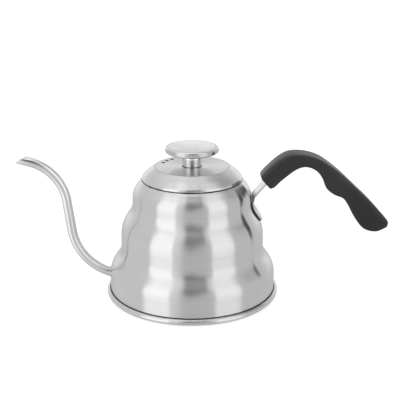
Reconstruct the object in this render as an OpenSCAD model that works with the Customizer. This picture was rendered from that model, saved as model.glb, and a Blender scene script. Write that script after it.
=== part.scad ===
// Gooseneck pour-over kettle: a three-tiered sheet steel body on a rolled base, a bent-tube
// spout, a lift-off lid with a metal knob, and a moulded grip on a steel strap.
// Sizes are in millimetres. The body's axis is Z, the underside of the base lies at z = 0,
// the spout points to -X and the grip to +X.

/* [Sheet] */
// Thickness of the steel sheet of the body, base and lid
sheet = 0.8; // [0.6:0.1:1]
// Thickness of the steel sheet of the knob
knob_sheet = 1; // [0.8:0.1:1.2]

/* [Base] */
// Radius of the rolled rim's section
roll_r = 3; // [2.8:0.1:3.6]
// Width of the flange at the foot of the body, held inside the rolled rim
foot_out = 0.8; // [0.5:0.1:1]

/* [Body] */
// Radius of the lowest tier
tier_1_r = 69; // [66:0.5:72]
// Radius of the middle tier
tier_2_r = 59.2; // [57:0.1:61]
// Radius of the top tier
tier_3_r = 49.1; // [47:0.1:51]
// Height at which the lowest tier's shoulder begins, measured on its sharp corner
shoulder_1_z = 25.4; // [23.5:0.1:27]
// Height of the groove between the lowest and the middle tier
valley_1_z = 38; // [36.5:0.1:40]
// Height at which the middle tier's shoulder begins
shoulder_2_z = 61.8; // [60:0.1:63]
// Height of the groove between the middle and the top tier
valley_2_z = 74.7; // [73.5:0.1:76.5]
// Height at which the top tier's shoulder begins
shoulder_3_z = 88.1; // [87:0.1:90]
// Radius of the lowest shoulder's bend
shoulder_1_bend = 17.7; // [10:0.1:19]
// Radius of the middle shoulder's bend
shoulder_2_bend = 28; // [18:0.5:30]
// Radius of the top shoulder's bend
shoulder_3_bend = 18; // [10:0.5:20]
// Radius of the bends in the two grooves
valley_bend = 15; // [8:0.5:16]

/* [Mouth] */
// Radius of the body's upper edge
mouth_r = 41.3; // [40:0.1:43]
// Height of the ledge that the lid rests on
mouth_z = 99.3; // [97:0.1:101]
// Radius of the opening inside the ledge
throat_r = 38; // [36:0.1:39]
// Height of the collar that hangs down inside the mouth
collar_h = 7; // [5:0.5:9]

/* [Spout] */
// Outside diameter of the spout's tube
spout_d = 8; // [7:0.1:9]
// Wall of the spout's tube
spout_wall = 0.6; // [0.5:0.1:0.8]
// Height at which the spout's centre line meets the body
spout_z = 16.2; // [14:0.1:18]
// Rise of the spout as it leaves the body, in degrees
root_angle = 18; // [12:1:22]
// Radius of the lower bend's centre line
lower_bend = 46; // [42:0.5:50]
// Rise of the straight neck between the bends, in degrees
neck_angle = 83; // [78:1:88]
// Length of the straight neck
neck_len = 26; // [20:0.5:30]
// Radius of the upper bend's centre line
upper_bend = 39; // [34:0.5:44]
// Rise of the spout's last stretch, in degrees
tip_angle = 16; // [10:1:24]
// Length of the last stretch, to the middle of its slanted mouth
tip_len = 8; // [7:0.5:12]
// Angle between the slanted mouth and the tube's centre line
tip_cut = 45; // [40:1:70]
// Length of tube that stands inside the body
root_in = 3; // [2:0.5:5]
// Radius of the weld's section around the spout's root
weld_r = 1.1; // [0.8:0.1:1.4]

/* [Lid] */
// Height of the lid over the ledge
lid_h = 10.8; // [9:0.1:12]
// Radius at which the lid's flank meets its flat top
lid_top_r = 30.7; // [28.5:0.1:32]
// How far the flank swells outwards at its middle
lid_swell = 0.8; // [0.4:0.1:1.2]
// Radius of the bend between flank and flat top
lid_bend = 4; // [3:0.1:5]
// Length of the skirt that hangs inside the mouth
skirt_h = 14; // [11:0.5:16]
// Diameter of one vent hole
vent_d = 2.9; // [2:0.1:3.4]
// Number of vent holes
vent_count = 3; // [1:1:4]
// Radius of the circle that the vent holes lie on
vent_pitch_r = 25.3; // [22:0.1:26]
// Angle between vent holes
vent_step = 13.9; // [11:0.1:16]
// Direction of the row of vent holes, from the grip's side, counter-clockwise
vent_turn = 145.6; // [120:0.1:160]

/* [Knob] */
// Radius of the knob's disc
knob_r = 21.9; // [19:0.1:24]
// Thickness of the knob's disc
knob_h = 5.3; // [4.5:0.1:6.5]
// Radius of the bends at the disc's edge
knob_bend = 1.8; // [1.4:0.1:2]
// Width of the edge that is turned under the disc
knob_turn = 3; // [2.5:0.1:4]
// Radius of the knob's post
post_r = 7.8; // [7:0.1:9]
// Height of the knob's post
post_h = 11.4; // [11:0.1:13]

/* [Strap] */
// Width of the strap
strap_w = 16; // [14:0.5:17]
// Thickness of the strap
strap_t = 1.8; // [1.5:0.1:2]
// Height of the strap's rounded lower end
strap_low_z = 64; // [63:0.5:68]
// Height at which the strap bends away from the body
strap_bend_z = 84.3; // [82:0.1:86]
// Radius of that bend's centre line
strap_bend = 3; // [2:0.1:4]
// Rise of the strap's tang, in degrees
tang_angle = 50; // [46:1:54]
// Bare length of the tang between its bend and the grip
tang_free = 19.2; // [17:0.1:24]
// Length of the tang inside the grip
tang_in = 24; // [20:0.5:26]

/* [Grip] */
// Width of the grip from the strap to its arch
grip_w = 20; // [19.5:0.1:22]
// Width of the grip's tail
tail_w = 13; // [11:0.5:16]
// Distance of the grip's screw from its front face
grip_screw_in = 10; // [8:0.5:12]
// Thickness of grip between the tang and the screw's seat
grip_land = 3.6; // [3:0.1:3.8]
// Diameter of the threaded insert
insert_d = 6.5; // [6:0.1:8]
// Length of the threaded insert
insert_h = 4.5; // [3.5:0.1:5]

/* [Screws] */
// Diameter of the screws
screw_d = 4; // [3:0.1:4.2]
// Diameter of the screws' heads
head_d = 7.4; // [7:0.1:8]
// Height of the screws' heads
head_h = 2.4; // [2:0.1:2.6]
// Thread length of the knob's screw inside the post
knob_thread = 8; // [6:0.5:9]
// Thickness of the split lock washers
lock_t = 0.9; // [0.6:0.1:1.1]
// Diameter of the split lock washers
lock_d = 7; // [6.5:0.1:7.4]
// Thickness of the seal under the lid
seal_t = 1; // [0.8:0.1:1.5]
// Diameter of the seal under the lid
seal_d = 12; // [10:0.5:15]

/* [Fits] */
// Gap between pieces that are welded, pressed or screwed together
snug = 0.05; // [0.02:0.01:0.1]
// Gap around the foot's flange inside the rolled rim
seam_gap = 0.1; // [0.05:0.01:0.15]
// Height of the lid over its ledge
seat_gap = 0.3; // [0.1:0.05:0.5]
// Gap between the lid's skirt and the collar, all round
skirt_gap = 0.4; // [0.3:0.05:0.8]
// Gap between the skirt's flange and the inside of the lid's edge
flange_gap = 0.3; // [0.3:0.05:0.5]
// Gap between the tang and its slot in the grip
slot_gap = 0.15; // [0.1:0.01:0.2]
// Gap between a screw and the plain holes that it passes
hole_gap = 0.2; // [0.1:0.01:0.3]

/* [Hidden] */
$fn = 96;

STEEL = [0.78, 0.78, 0.78];
POLISHED = [0.86, 0.86, 0.86];
BLACK = [0.16, 0.16, 0.17];
BRASS = [0.72, 0.58, 0.32];
RUBBER = [0.75, 0.76, 0.76];

far = 400;                  // longer than any cut needs
over = 1;                   // how far a cut runs past what it cuts
arc_steps = 10;             // straight pieces in each bend of an outline
bend_rings = 14;            // straight pieces in each bend of the spout
pipe_points = 20;           // sides of the spout's tube
sheet_bend = sheet + 0.4;   // outside radius of a tight bend in the sheet
sharp_bend = 0.3;           // radius of a bend that is pressed sharp
flank_bend = 20;            // radius of the swell in the middle of the lid's flank
strap_sweep = 40;           // angle round the body's axis that the strap is cut from

// The flange's lower edge keeps seam_gap from the inside of the rolled rim
foot_z = roll_r - sqrt(pow(roll_r - sheet - seam_gap, 2) - pow(foot_out, 2));

lid_z = mouth_z + seat_gap;             // lower edge of the lid
lid_top_z = mouth_z + lid_h;            // flat top of the lid
lid_under_z = lid_top_z - sheet;        // underside of the flat top
skirt_r = throat_r - skirt_gap;         // outside of the lid's skirt
knob_z = lid_top_z + post_h;            // underside of the knob's disc
spigot_r = post_r / 2;                  // spigot that joins the post to the disc
seal_z = lid_under_z - seal_t;          // underside of the seal
knob_head_z = seal_z - lock_t;          // bearing face of the knob's screw

strap_x = tier_3_r + 3 * snug + strap_t / 2;    // middle of the strap's flat stretch, just proud of its foot
tang_len = tang_free + tang_in;
grip_seat = -(strap_t / 2 + slot_gap + grip_land);  // seat of the grip's washer, under the tang
insert_low = strap_t / 2 + slot_gap;                // lower end of the insert, over the tang

// ---- Outlines ----

function unit(v) = v / norm(v);
function reverse(p) = [for (i = [len(p) - 1 : -1 : 0]) p[i]];
function half_turn(a) = a > 180 ? a - 360 : a < -180 ? a + 360 : a;

// Corner p between its neighbours a and b, as an arc of radius r that touches both sides
function bend(a, p, b, r) =
    let(
        u = unit(a - p),
        v = unit(b - p),
        half = acos(u * v) / 2,
        c = p + unit(u + v) * r / sin(half),
        s = p + u * r / tan(half) - c,
        e = p + v * r / tan(half) - c,
        start = atan2(s[1], s[0]),
        sweep = half_turn(atan2(e[1], e[0]) - start)
    )
    [for (i = [0 : arc_steps]) let(turn = start + sweep * i / arc_steps) c + r * [cos(turn), sin(turn)]];

function flat(p) = [p[0], p[1]];

// Outline through corners [r, z, bend radius]; a radius of 0 leaves the corner sharp
function outline(c) = [
    for (i = [0 : len(c) - 1])
        each (c[i][2] == 0 ? [flat(c[i])] : bend(flat(c[i - 1]), flat(c[i]), flat(c[i + 1]), c[i][2]))
];

// Direction of an outline at point i, the mean of the stretches before and after it
function heading(p, i) = unit(
    (i > 0 ? unit(p[i] - p[i - 1]) : [0, 0]) + (i < len(p) - 1 ? unit(p[i + 1] - p[i]) : [0, 0])
);

// Outline p moved by d to its left
function beside(p, d) = [
    for (i = [0 : len(p) - 1]) let(h = heading(p, i)) p[i] + d * [-h[1], h[0]]
];

// Strip of sheet between the outlines that lie near and away to the left of p
module strip(p, near, away) polygon(concat(beside(p, near), reverse(beside(p, away))));

// Closed body through rings of equal numbers of points; seen from its start, each ring runs clockwise
module loft(rings) {
    n = len(rings[0]);
    m = len(rings);
    polyhedron(
        points = [for (r = rings) each r],
        faces = concat(
            [
                for (j = [0 : m - 2], k = [0 : n - 1])
                    let(a = j * n + k, b = j * n + (k + 1) % n)
                    each [[a, b + n, b], [a, a + n, b + n]]
            ],
            [
                [for (k = [0 : n - 1]) k],
                [for (k = [0 : n - 1]) m * n - 1 - k]
            ]
        )
    );
}

// The tiers' corners, from the lowest wall to the top shoulder
tier_corners = [
    [tier_1_r, shoulder_1_z, shoulder_1_bend],
    [tier_2_r, valley_1_z, valley_bend],
    [tier_2_r, shoulder_2_z, shoulder_2_bend],
    [tier_3_r, valley_2_z, valley_bend],
    [tier_3_r, shoulder_3_z, shoulder_3_bend]
];

// Outside of the body, from the flange at its foot over the tiers to the collar in its mouth
body_line = outline(concat(
    [[tier_1_r + foot_out, foot_z + sheet, 0], [tier_1_r, foot_z + sheet, sharp_bend]],
    tier_corners,
    [
        [mouth_r, mouth_z, sheet_bend],
        [throat_r, mouth_z, sheet_bend],
        [throat_r, mouth_z - collar_h, 0]
    ]
));

// Outside of the body where the strap lies on it
strap_line = outline([
    [tier_2_r, valley_1_z, 0],
    tier_corners[2],
    tier_corners[3],
    [tier_3_r, shoulder_3_z, 0]
]);

// Outside of the lid, from its lower edge to its middle; the flank's own middle is pushed out
lid_edge = [mouth_r, lid_z + sheet];
lid_crease = [lid_top_r, lid_top_z];
lid_slope = unit(lid_crease - lid_edge);
lid_middle = (lid_edge + lid_crease) / 2 + lid_swell * [lid_slope[1], -lid_slope[0]];
lid_line = outline([
    [mouth_r, lid_z, 0],
    [lid_edge[0], lid_edge[1], sheet_bend],
    [lid_middle[0], lid_middle[1], flank_bend],
    [lid_crease[0], lid_crease[1], lid_bend],
    [screw_d / 2 + hole_gap, lid_top_z, 0]
]);

// ---- Spout ----

// Headings and places along the spout lie in the XZ plane; a rise of 0 points to -X
function along(rise) = [-cos(rise), 0, sin(rise)];
function above(rise) = [sin(rise), 0, cos(rise)];

root = [-tier_1_r, 0, spout_z];
lower_centre = root + lower_bend * above(root_angle);
neck_low = lower_centre - lower_bend * above(neck_angle);
neck_high = neck_low + neck_len * along(neck_angle);
upper_centre = neck_high - upper_bend * above(neck_angle);
tip_start = upper_centre + upper_bend * above(tip_angle);
mouth_centre = tip_start + tip_len * along(tip_angle);
tip_over = spout_d / tan(tip_cut);      // tube left beyond the mouth's middle, before the cut

// Turns +Z to the heading of the given rise, at place p
module heading_at(p, rise) translate(p) rotate([0, rise - 90, 0]) children();

// Centre line of the tube from inside the body to past its mouth, and the rise at each of its points
spout_rises = concat(
    [root_angle],
    [for (i = [0 : bend_rings]) root_angle + (neck_angle - root_angle) * i / bend_rings],
    [for (i = [0 : bend_rings]) neck_angle + (tip_angle - neck_angle) * i / bend_rings],
    [tip_angle]
);
spout_line = concat(
    [root - root_in * along(root_angle)],
    [for (i = [1 : bend_rings + 1]) lower_centre - lower_bend * above(spout_rises[i])],
    [for (i = [bend_rings + 2 : 2 * bend_rings + 2]) upper_centre + upper_bend * above(spout_rises[i])],
    [tip_start + (tip_len + tip_over) * along(tip_angle)]
);

// Rings of radius r along the tube, run on past both of its ends by the length more
function spout_rings(r, more) = [
    for (i = [0 : len(spout_line) - 1])
        let(
            end = i == 0 ? -1 : i == len(spout_line) - 1 ? 1 : 0,
            centre = spout_line[i] + end * more * along(spout_rises[i])
        )
        [
            for (k = [0 : pipe_points - 1])
                let(a = 360 * k / pipe_points)
                centre + r * (cos(a) * [0, -1, 0] + sin(a) * above(spout_rises[i]))
        ]
];

module spout_tube() color(POLISHED) difference() {
    loft(spout_rings(spout_d / 2, 0));
    loft(spout_rings(spout_d / 2 - spout_wall, over));
    // The slanted mouth faces up and away from the body
    heading_at(mouth_centre, tip_angle + 90 - tip_cut) translate([-spout_d * 2, -spout_d, 0])
        cube([spout_d * 4, spout_d * 2, spout_d * 4]);
}

// Straight hole for the spout's root
module spout_hole() heading_at(root - spout_d * 2 * along(root_angle), root_angle)
    cylinder(d = spout_d + 2 * snug, h = spout_d * 4);

// Bead of weld round the root, flat where it lies against the body's wall
module spout_weld() color(POLISHED) difference() {
    translate(root - [snug, 0, 0]) rotate([0, -90, 0]) rotate_extrude() intersection() {
        translate([spout_d / 2 + weld_r / 2, 0]) circle(r = weld_r);
        square(spout_d);
    }
    spout_hole();
}

// ---- Body and base ----

module body_shell() color(STEEL) difference() {
    rotate_extrude() strip(body_line, 0, sheet);
    spout_hole();
}

// Flat disc whose rim is rolled up round the body's foot
module base_plate() color(STEEL) rotate_extrude() {
    square([tier_1_r, sheet]);
    difference() {
        translate([tier_1_r, roll_r]) circle(r = roll_r);
        translate([tier_1_r, roll_r]) circle(r = roll_r - sheet);
        translate([0, sheet]) square([tier_1_r + seam_gap, roll_r * 2]);
        square([tier_1_r, sheet]);
    }
}

// ---- Strap and grip ----

// Frame of the tang: +X runs along it from its bend, +Z stands up from its flat side
module tang_frame(d) translate([strap_x, 0, strap_bend_z])
    rotate([0, -tang_angle, 0]) translate([d, 0, 0]) children();

module upright(w) rotate([90, 0, 0]) linear_extrude(w, center = true) children();

module handle_strap() color(POLISHED) difference() {
    union() {
        // Foot of the strap, curved to the tiers, with a round lower end
        intersection() {
            rotate([0, 0, -strap_sweep / 2]) rotate_extrude(angle = strap_sweep)
                strip(strap_line, -snug, -snug - strap_t);
            rotate([90, 0, 90]) linear_extrude(far / 2) {
                translate([0, strap_low_z + strap_w / 2]) circle(d = strap_w);
                translate([-strap_w / 2, strap_low_z + strap_w / 2])
                    square([strap_w, strap_bend_z - strap_low_z - strap_w / 2]);
            }
        }
        // Bend and tang
        upright(strap_w) strip(outline([
            [strap_x, strap_bend_z - strap_bend, 0],
            [strap_x, strap_bend_z, strap_bend],
            [strap_x + tang_len * cos(tang_angle), strap_bend_z + tang_len * sin(tang_angle), 0]
        ]), -strap_t / 2, strap_t / 2);
    }
    tang_frame(tang_free + grip_screw_in)
        cylinder(d = screw_d + 2 * hole_gap, h = strap_t * 4, center = true);
}

// Sections of the grip from front to tail, as [upper edge, lower edge]: each edge is
// [distance from the front along the tang, height over the tang]
grip_sections = [
    [[-1.4, 5.4], [-3.8, -4.2]],
    [[0.8, 7.7], [-3, -7.3]],
    [[11.8, 7], [6.5, -8.2]],
    [[19.8, 5.2], [14.8, -9.5]],
    [[26.5, 2], [20.8, -10.6]],
    [[32.6, -4.1], [26.2, -13.1]],
    [[37.7, -12.2], [29.6, -17.2]],
    [[40.9, -21.1], [31, -23.5]],
    [[42, -30], [30, -29.5]],
    [[42.3, -38], [27.6, -35.5]],
    [[42.1, -46], [24.7, -41.6]],
    [[41.6, -54.3], [25, -49.4]],
    [[41.1, -62.6], [26.9, -57]],
    [[40.8, -70.6], [25.3, -64.4]],
    [[40, -80], [22, -72.8]],
    [[38.7, -89], [19.9, -80]],
    [[37.4, -97.4], [18.7, -87.4]],
    [[35.8, -101.8], [20.6, -93.6]],
    [[32.6, -104.2], [24.2, -99]]
];
section_steps = 3;      // rings between one section and the next
section_points = 24;    // points round one ring
squareness = 4.5;       // 2 would make the sections oval
arch_section = 6;       // the width falls from here to the tail
tail_section = 14;      // the width is tail_w from here on
front_share = 0.75;     // width of the front face, as a share of the grip's

// Point a fraction t of the way from b to c, on the smooth curve through a, b, c and d
function smooth(a, b, c, d, t) =
    b + (c - a) * t / 2 + (2 * a - 5 * b + 4 * c - d) * t * t / 2 + (3 * b - a - 3 * c + d) * t * t * t / 2;

last_section = len(grip_sections) - 1;
function section_at(i) = grip_sections[min(max(i, 0), last_section)];
function edge_at(u, k) =
    let(i = min(floor(u), last_section - 1))
    smooth(section_at(i - 1)[k], section_at(i)[k], section_at(i + 1)[k], section_at(i + 2)[k], u - i);

function ease(t) = let(c = min(max(t, 0), 1)) c * c * (3 - 2 * c);
// The width also closes in over the first section and the last two, to round the ends
function end_rounding(u) =
    min(
        front_share + (1 - front_share) * sqrt(min(u, 1)),
        (1 + sqrt(max(0, 1 - pow(max(0, u - last_section + 2) / 2, 2)))) / 2
    );
function width_at(u) =
    (grip_w + (tail_w - grip_w) * ease((u - arch_section) / (tail_section - arch_section))) * end_rounding(u);
function bulge(x) = sign(x) * pow(abs(x), 2 / squareness);

function ring_at(u) =
    let(
        top = edge_at(u, 0),
        low = edge_at(u, 1),
        mid = (top + low) / 2,
        up = (top - low) / 2,
        w = width_at(u)
    )
    [
        for (k = [0 : section_points - 1])
            let(a = 360 * k / section_points, y = w / 2 * bulge(cos(a)), p = mid + up * bulge(sin(a)))
            [p[0], y, p[1]]
    ];

grip_rings = [for (k = [0 : last_section * section_steps]) ring_at(k / section_steps)];

module handle_grip() color(BLACK) difference() {
    tang_frame(tang_free) loft(grip_rings);
    // Slot for the tang
    tang_frame(tang_free - strap_w) translate([0, -strap_w / 2 - slot_gap, -insert_low])
        cube([strap_w + tang_in + slot_gap, strap_w + 2 * slot_gap, 2 * insert_low]);
    // Counterbore of the screw's head, hole of its shank and pocket of its insert
    tang_frame(tang_free + grip_screw_in) rotate_extrude() polygon([
        [0, grip_seat - tang_free],
        [head_d / 2 + hole_gap, grip_seat - tang_free],
        [head_d / 2 + hole_gap, grip_seat],
        [screw_d / 2 + hole_gap, grip_seat],
        [screw_d / 2 + hole_gap, 0],
        [insert_d / 2 + snug, 0],
        [insert_d / 2 + snug, insert_low + insert_h + snug],
        [0, insert_low + insert_h + snug]
    ]);
}

// ---- Fasteners ----

// Pan-head screw with its head under z = 0, its shank up to h and a cross recess
module screw(h) difference() {
    union() {
        cylinder(d = screw_d, h = h);
        translate([0, 0, -head_h]) rotate_extrude() polygon(outline([
            [0, head_h, 0], [head_d / 2, head_h, 0], [head_d / 2, 0, head_h / 2], [0, 0, 0]
        ]));
    }
    for (turn = [0, 90]) rotate([0, 0, turn]) translate([-head_d / 4, -head_d / 16, -head_h - over])
        cube([head_d / 2, head_d / 8, over + head_h / 2]);
}

// Spring ring with a split, standing on z = 0
module lock_washer() difference() {
    cylinder(d = lock_d, h = lock_t);
    translate([0, 0, -over]) cylinder(d = screw_d + 2 * hole_gap, h = lock_t + 2 * over);
    translate([0, -lock_t / 2, -over]) cube([lock_d, lock_t, lock_t + 2 * over]);
}

module grip_insert() color(BRASS) tang_frame(tang_free + grip_screw_in)
    translate([0, 0, insert_low]) difference() {
        cylinder(d = insert_d, h = insert_h);
        translate([0, 0, -over]) cylinder(d = screw_d + 2 * snug, h = insert_h + 2 * over);
    }

module grip_lock_washer() color(POLISHED) tang_frame(tang_free + grip_screw_in)
    translate([0, 0, grip_seat - lock_t]) lock_washer();

module grip_screw() color(POLISHED) tang_frame(tang_free + grip_screw_in)
    translate([0, 0, grip_seat - lock_t]) screw(insert_low + insert_h + lock_t - grip_seat - snug);

// ---- Lid and knob ----

module lid_shell() color(STEEL) difference() {
    rotate_extrude() strip(lid_line, 0, sheet);
    for (k = [0 : vent_count - 1])
        rotate([0, 0, vent_turn + (k - (vent_count - 1) / 2) * vent_step])
            translate([vent_pitch_r, 0, lid_z]) cylinder(d = vent_d, h = lid_h + over);
}

// Ring with a flange at its top, welded inside the lid's edge
module lid_skirt() color(STEEL) rotate_extrude() strip(outline([
    [mouth_r - sheet - flange_gap, lid_z, 0],
    [skirt_r, lid_z, sharp_bend],
    [skirt_r, lid_z - skirt_h, 0]
]), 0, -sheet);

module knob_post() color(POLISHED) difference() {
    union() {
        translate([0, 0, lid_top_z]) cylinder(r = post_r, h = post_h);
        translate([0, 0, lid_top_z]) cylinder(r = spigot_r, h = post_h + knob_sheet);
    }
    // Threaded hole, a little deeper than the screw is long
    translate([0, 0, lid_top_z - over]) cylinder(d = screw_d + 2 * snug, h = knob_thread + 2 * over);
}

// Disc that closes the knob from below, round the post's spigot
module knob_underplate() color(POLISHED) translate([0, 0, knob_z]) difference() {
    cylinder(r = knob_r - knob_turn - snug, h = knob_sheet);
    translate([0, 0, -over]) cylinder(r = spigot_r + snug, h = knob_sheet + 2 * over);
}

// Hollow disc with its edge turned under
module knob_cap() color(POLISHED) translate([0, 0, knob_z]) rotate_extrude() strip(outline([
    [knob_r - knob_turn, 0, 0],
    [knob_r, 0, knob_bend],
    [knob_r, knob_h, knob_bend],
    [0, knob_h, 0]
]), 0, knob_sheet);

module lid_seal() color(RUBBER) translate([0, 0, seal_z]) difference() {
    cylinder(d = seal_d, h = seal_t);
    translate([0, 0, -over]) cylinder(d = screw_d + 2 * snug, h = seal_t + 2 * over);
}

module knob_lock_washer() color(POLISHED) translate([0, 0, knob_head_z]) lock_washer();

module knob_screw() color(POLISHED) translate([0, 0, knob_head_z])
    screw(lid_top_z + knob_thread - knob_head_z);

body_shell();
base_plate();
spout_tube();
spout_weld();
handle_strap();
handle_grip();
grip_insert();
grip_lock_washer();
grip_screw();
lid_shell();
lid_skirt();
knob_post();
knob_underplate();
knob_cap();
lid_seal();
knob_lock_washer();
knob_screw();
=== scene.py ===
"""Dresses a gooseneck kettle: smooth sheet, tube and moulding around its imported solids.

Every length is in metres. The kettle stands on z = 0 with its axis on Z, its spout points to -X
and its grip to +X.
"""

import logging
import math
from collections.abc import Sequence
from dataclasses import dataclass
from enum import Enum

import bmesh
import bpy
import numpy as np
from numpy.typing import NDArray
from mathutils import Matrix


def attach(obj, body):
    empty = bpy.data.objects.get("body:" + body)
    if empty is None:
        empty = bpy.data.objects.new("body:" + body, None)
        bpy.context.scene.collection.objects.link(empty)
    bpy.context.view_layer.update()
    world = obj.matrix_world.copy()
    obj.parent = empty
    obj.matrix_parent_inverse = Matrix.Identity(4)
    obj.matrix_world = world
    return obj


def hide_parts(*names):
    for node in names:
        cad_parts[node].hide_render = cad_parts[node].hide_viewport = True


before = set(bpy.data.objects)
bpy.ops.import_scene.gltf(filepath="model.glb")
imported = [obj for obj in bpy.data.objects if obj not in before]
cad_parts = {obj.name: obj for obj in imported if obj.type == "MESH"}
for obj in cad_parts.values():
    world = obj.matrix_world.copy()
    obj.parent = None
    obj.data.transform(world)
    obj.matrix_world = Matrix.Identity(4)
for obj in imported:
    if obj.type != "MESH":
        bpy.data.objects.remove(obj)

Array = NDArray[np.float64]
Span = tuple[float, float]
Band = tuple[float, float, float, float]
Colour = tuple[float, float, float]
Corner = tuple[float, float, float]
Piece = bpy.types.Object
Material = bpy.types.Material
Node = bpy.types.Node
Tree = bpy.types.NodeTree

MM = 0.001
SHADED_EDGE = "edge"       # attribute that marks where shade is painted on a piece's edges
SIDES = 192         # sides of a turned piece
ARC_STEPS = 14      # stretches in each bend of an outline
CREASE = 40         # degrees between faces from which an edge stays sharp
MERGE = 1e-6        # points closer than this are one point
NO_LENGTH = 1e-7    # edges shorter than this are dissolved
NOISE_SPAN: Span = (0.3, 0.7)       # values between which most of a noise lies
HAZE_SPAN: Span = (0.35, 0.65)      # and most of the haze

log = logging.getLogger("kettle")


class BodyName(Enum):
    """The two bodies that the pieces ride on."""

    KETTLE = "kettle"
    LID = "lid"


class Slot(Enum):
    """The record's material slots, passed along with the pieces made here but not given to them."""

    SATIN = "satin_steel"
    POLISHED = "polished_steel"
    GRIP = "grip_plastic"


# ---- Outlines and surfaces ----


def unit(vectors: Array) -> Array:
    """Returns the vectors, along the last axis, scaled to length 1."""
    return vectors / np.linalg.norm(vectors, axis=-1, keepdims=True)


def turns(count: int) -> Array:
    """Returns evenly spaced angles round a circle, in radians."""
    return np.linspace(0, 2 * np.pi, count, endpoint=False)


def progress(value: Array, low: float, high: float) -> Array:
    """Returns how far a value has come from low to high: 0 up to low and 1 from high on."""
    return np.clip((value - low) / (high - low), 0, 1)


def eased(value: Array, low: float, high: float) -> Array:
    """Returns 3t^2 - 2t^3, where t is how far a value has come from low to high."""
    t = progress(value, low, high)
    return t**2 * (3 - 2 * t)


def rounded(value: Array, full: float) -> Array:
    """Returns the root of 1 - (1 - t)^2, a quarter circle, where t is the value's share of full."""
    return np.sqrt(1 - (1 - progress(value, 0, full)) ** 2)


def bend(before: Array, corner: Array, after: Array, radius: float) -> Array:
    """Rounds one corner of an outline.

    The arc's centre lies on the corner's bisector, radius / sin(half the angle) from the corner,
    so that the arc touches both sides.

    Args:
        before: Corner before this one.
        corner: Corner to round.
        after: Corner after this one.
        radius: Radius of the arc.

    Returns:
        Points of the arc, one row each.
    """
    back, ahead = unit(before - corner), unit(after - corner)
    half = np.arccos(np.clip(back @ ahead, -1, 1)) / 2
    centre = corner + unit(back + ahead) * radius / np.sin(half)
    first, last = (corner + side * radius / np.tan(half) - centre for side in (back, ahead))
    start = np.arctan2(first[1], first[0])
    sweep = (np.arctan2(last[1], last[0]) - start + np.pi) % (2 * np.pi) - np.pi
    angle = start + sweep * np.linspace(0, 1, ARC_STEPS + 1)
    return centre + radius * np.stack([np.cos(angle), np.sin(angle)], axis=-1)


def outline(corners: Sequence[Corner]) -> Array:
    """Makes an outline through corners; a bend radius of 0 leaves a corner sharp.

    Args:
        corners: The corners, as (x, y, bend radius), in order. The first and the last are sharp.

    Returns:
        Points of the outline, one row each.
    """
    places = np.array([corner[:2] for corner in corners])
    stretches = [
        bend(places[i - 1], places[i], places[i + 1], corner[2]) if corner[2] else places[i : i + 1]
        for i, corner in enumerate(corners)
    ]
    return np.concatenate(stretches)


def headings(line: Array) -> Array:
    """Returns the direction of a line at each point, the mean of the stretches that meet there."""
    steps = unit(np.diff(line, axis=0))
    return unit(np.vstack([steps[:1], steps]) + np.vstack([steps, steps[-1:]]))


def beside(line: Array, distance: float) -> Array:
    """Returns a flat outline moved to its left by a distance."""
    ahead = headings(line)
    return line + distance * np.stack([-ahead[:, 1], ahead[:, 0]], axis=-1)


def sheet_outline(line: Array, thickness: float) -> Array:
    """Returns the closed outline of a sheet that lies to the left of a line."""
    return np.vstack([line, beside(line, thickness)[::-1]])


def run(line: Array) -> Array:
    """Returns the length along a line at each of its points, summed from the first."""
    return np.concatenate([[0], np.cumsum(np.linalg.norm(np.diff(line, axis=0), axis=-1))])


def even(line: Array, count: int) -> Array:
    """Resamples a line to evenly spaced points, read off at equal steps of its length.

    Args:
        line: Points of the line, one row each.
        count: Points wanted.

    Returns:
        The new points, one row each.
    """
    length = run(line)
    wanted = np.linspace(0, length[-1], count)
    return np.stack([np.interp(wanted, length, line[:, k]) for k in range(line.shape[1])], axis=-1)


def revolved(line: Array, sides: int) -> Array:
    """Turns an outline about Z: a point (r, z) runs round the circle (r cos a, r sin a, z).

    Args:
        line: The outline, as rows (radius, height).
        sides: Angles round the axis.

    Returns:
        The points, one row for each point of the outline.
    """
    angle = turns(sides)
    radius, height = line[:, :1], line[:, 1:]
    return np.stack([radius * np.cos(angle), radius * np.sin(angle), height + 0 * angle], axis=-1)


def capped(rings: Array) -> Array:
    """Returns rings closed by two more rows, the middle of the first ring and that of the last."""
    ends = np.broadcast_to(rings[[0, -1]].mean(axis=1, keepdims=True), (2, *rings.shape[1:]))
    return np.concatenate([ends[:1], rings, ends[1:]])


def surface(name: str, grid: Array, closed: bool = False, crease: float = CREASE,
            edge: Array | None = None) -> Piece:
    """Makes a piece from a grid of points; the columns always close round on themselves.

    The signed volume, the sum of each triangle's triple product over 6, decides which way the
    faces turn, so that they point outwards.

    Args:
        name: Name of the piece.
        grid: Points, as rows by columns by 3.
        closed: Whether the last row also joins the first.
        crease: Angle in degrees between faces from which an edge stays sharp.
        edge: Value at each point of the edge attribute, the share of painted shade, as rows by
            columns, or None.

    Returns:
        The piece, at the origin, with its place in its mesh.
    """
    rows, columns = grid.shape[:2]
    i, j = np.meshgrid(np.arange(rows if closed else rows - 1), np.arange(columns), indexing="ij")
    below, right = (i + 1) % rows, (j + 1) % columns
    corners = [i * columns + j, below * columns + j, below * columns + right, i * columns + right]
    quads = np.stack(corners, axis=-1).reshape(-1, 4)
    points = grid.reshape(-1, 3)
    a, b, c, d = (points[quads[:, k]] for k in range(4))
    volume = np.sum(a * np.cross(b, c)) + np.sum(a * np.cross(c, d))
    if volume < 0:
        quads = quads[:, ::-1]
    mesh = bpy.data.meshes.new(name)
    mesh.from_pydata(points, [], quads)
    if edge is not None:
        attribute = mesh.attributes.new(SHADED_EDGE, "FLOAT", "POINT")
        attribute.data.foreach_set("value", edge.reshape(-1).astype(np.float32))
    tidy_mesh(mesh, crease)
    piece = bpy.data.objects.new(name, mesh)
    bpy.context.collection.objects.link(piece)
    return piece


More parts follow.
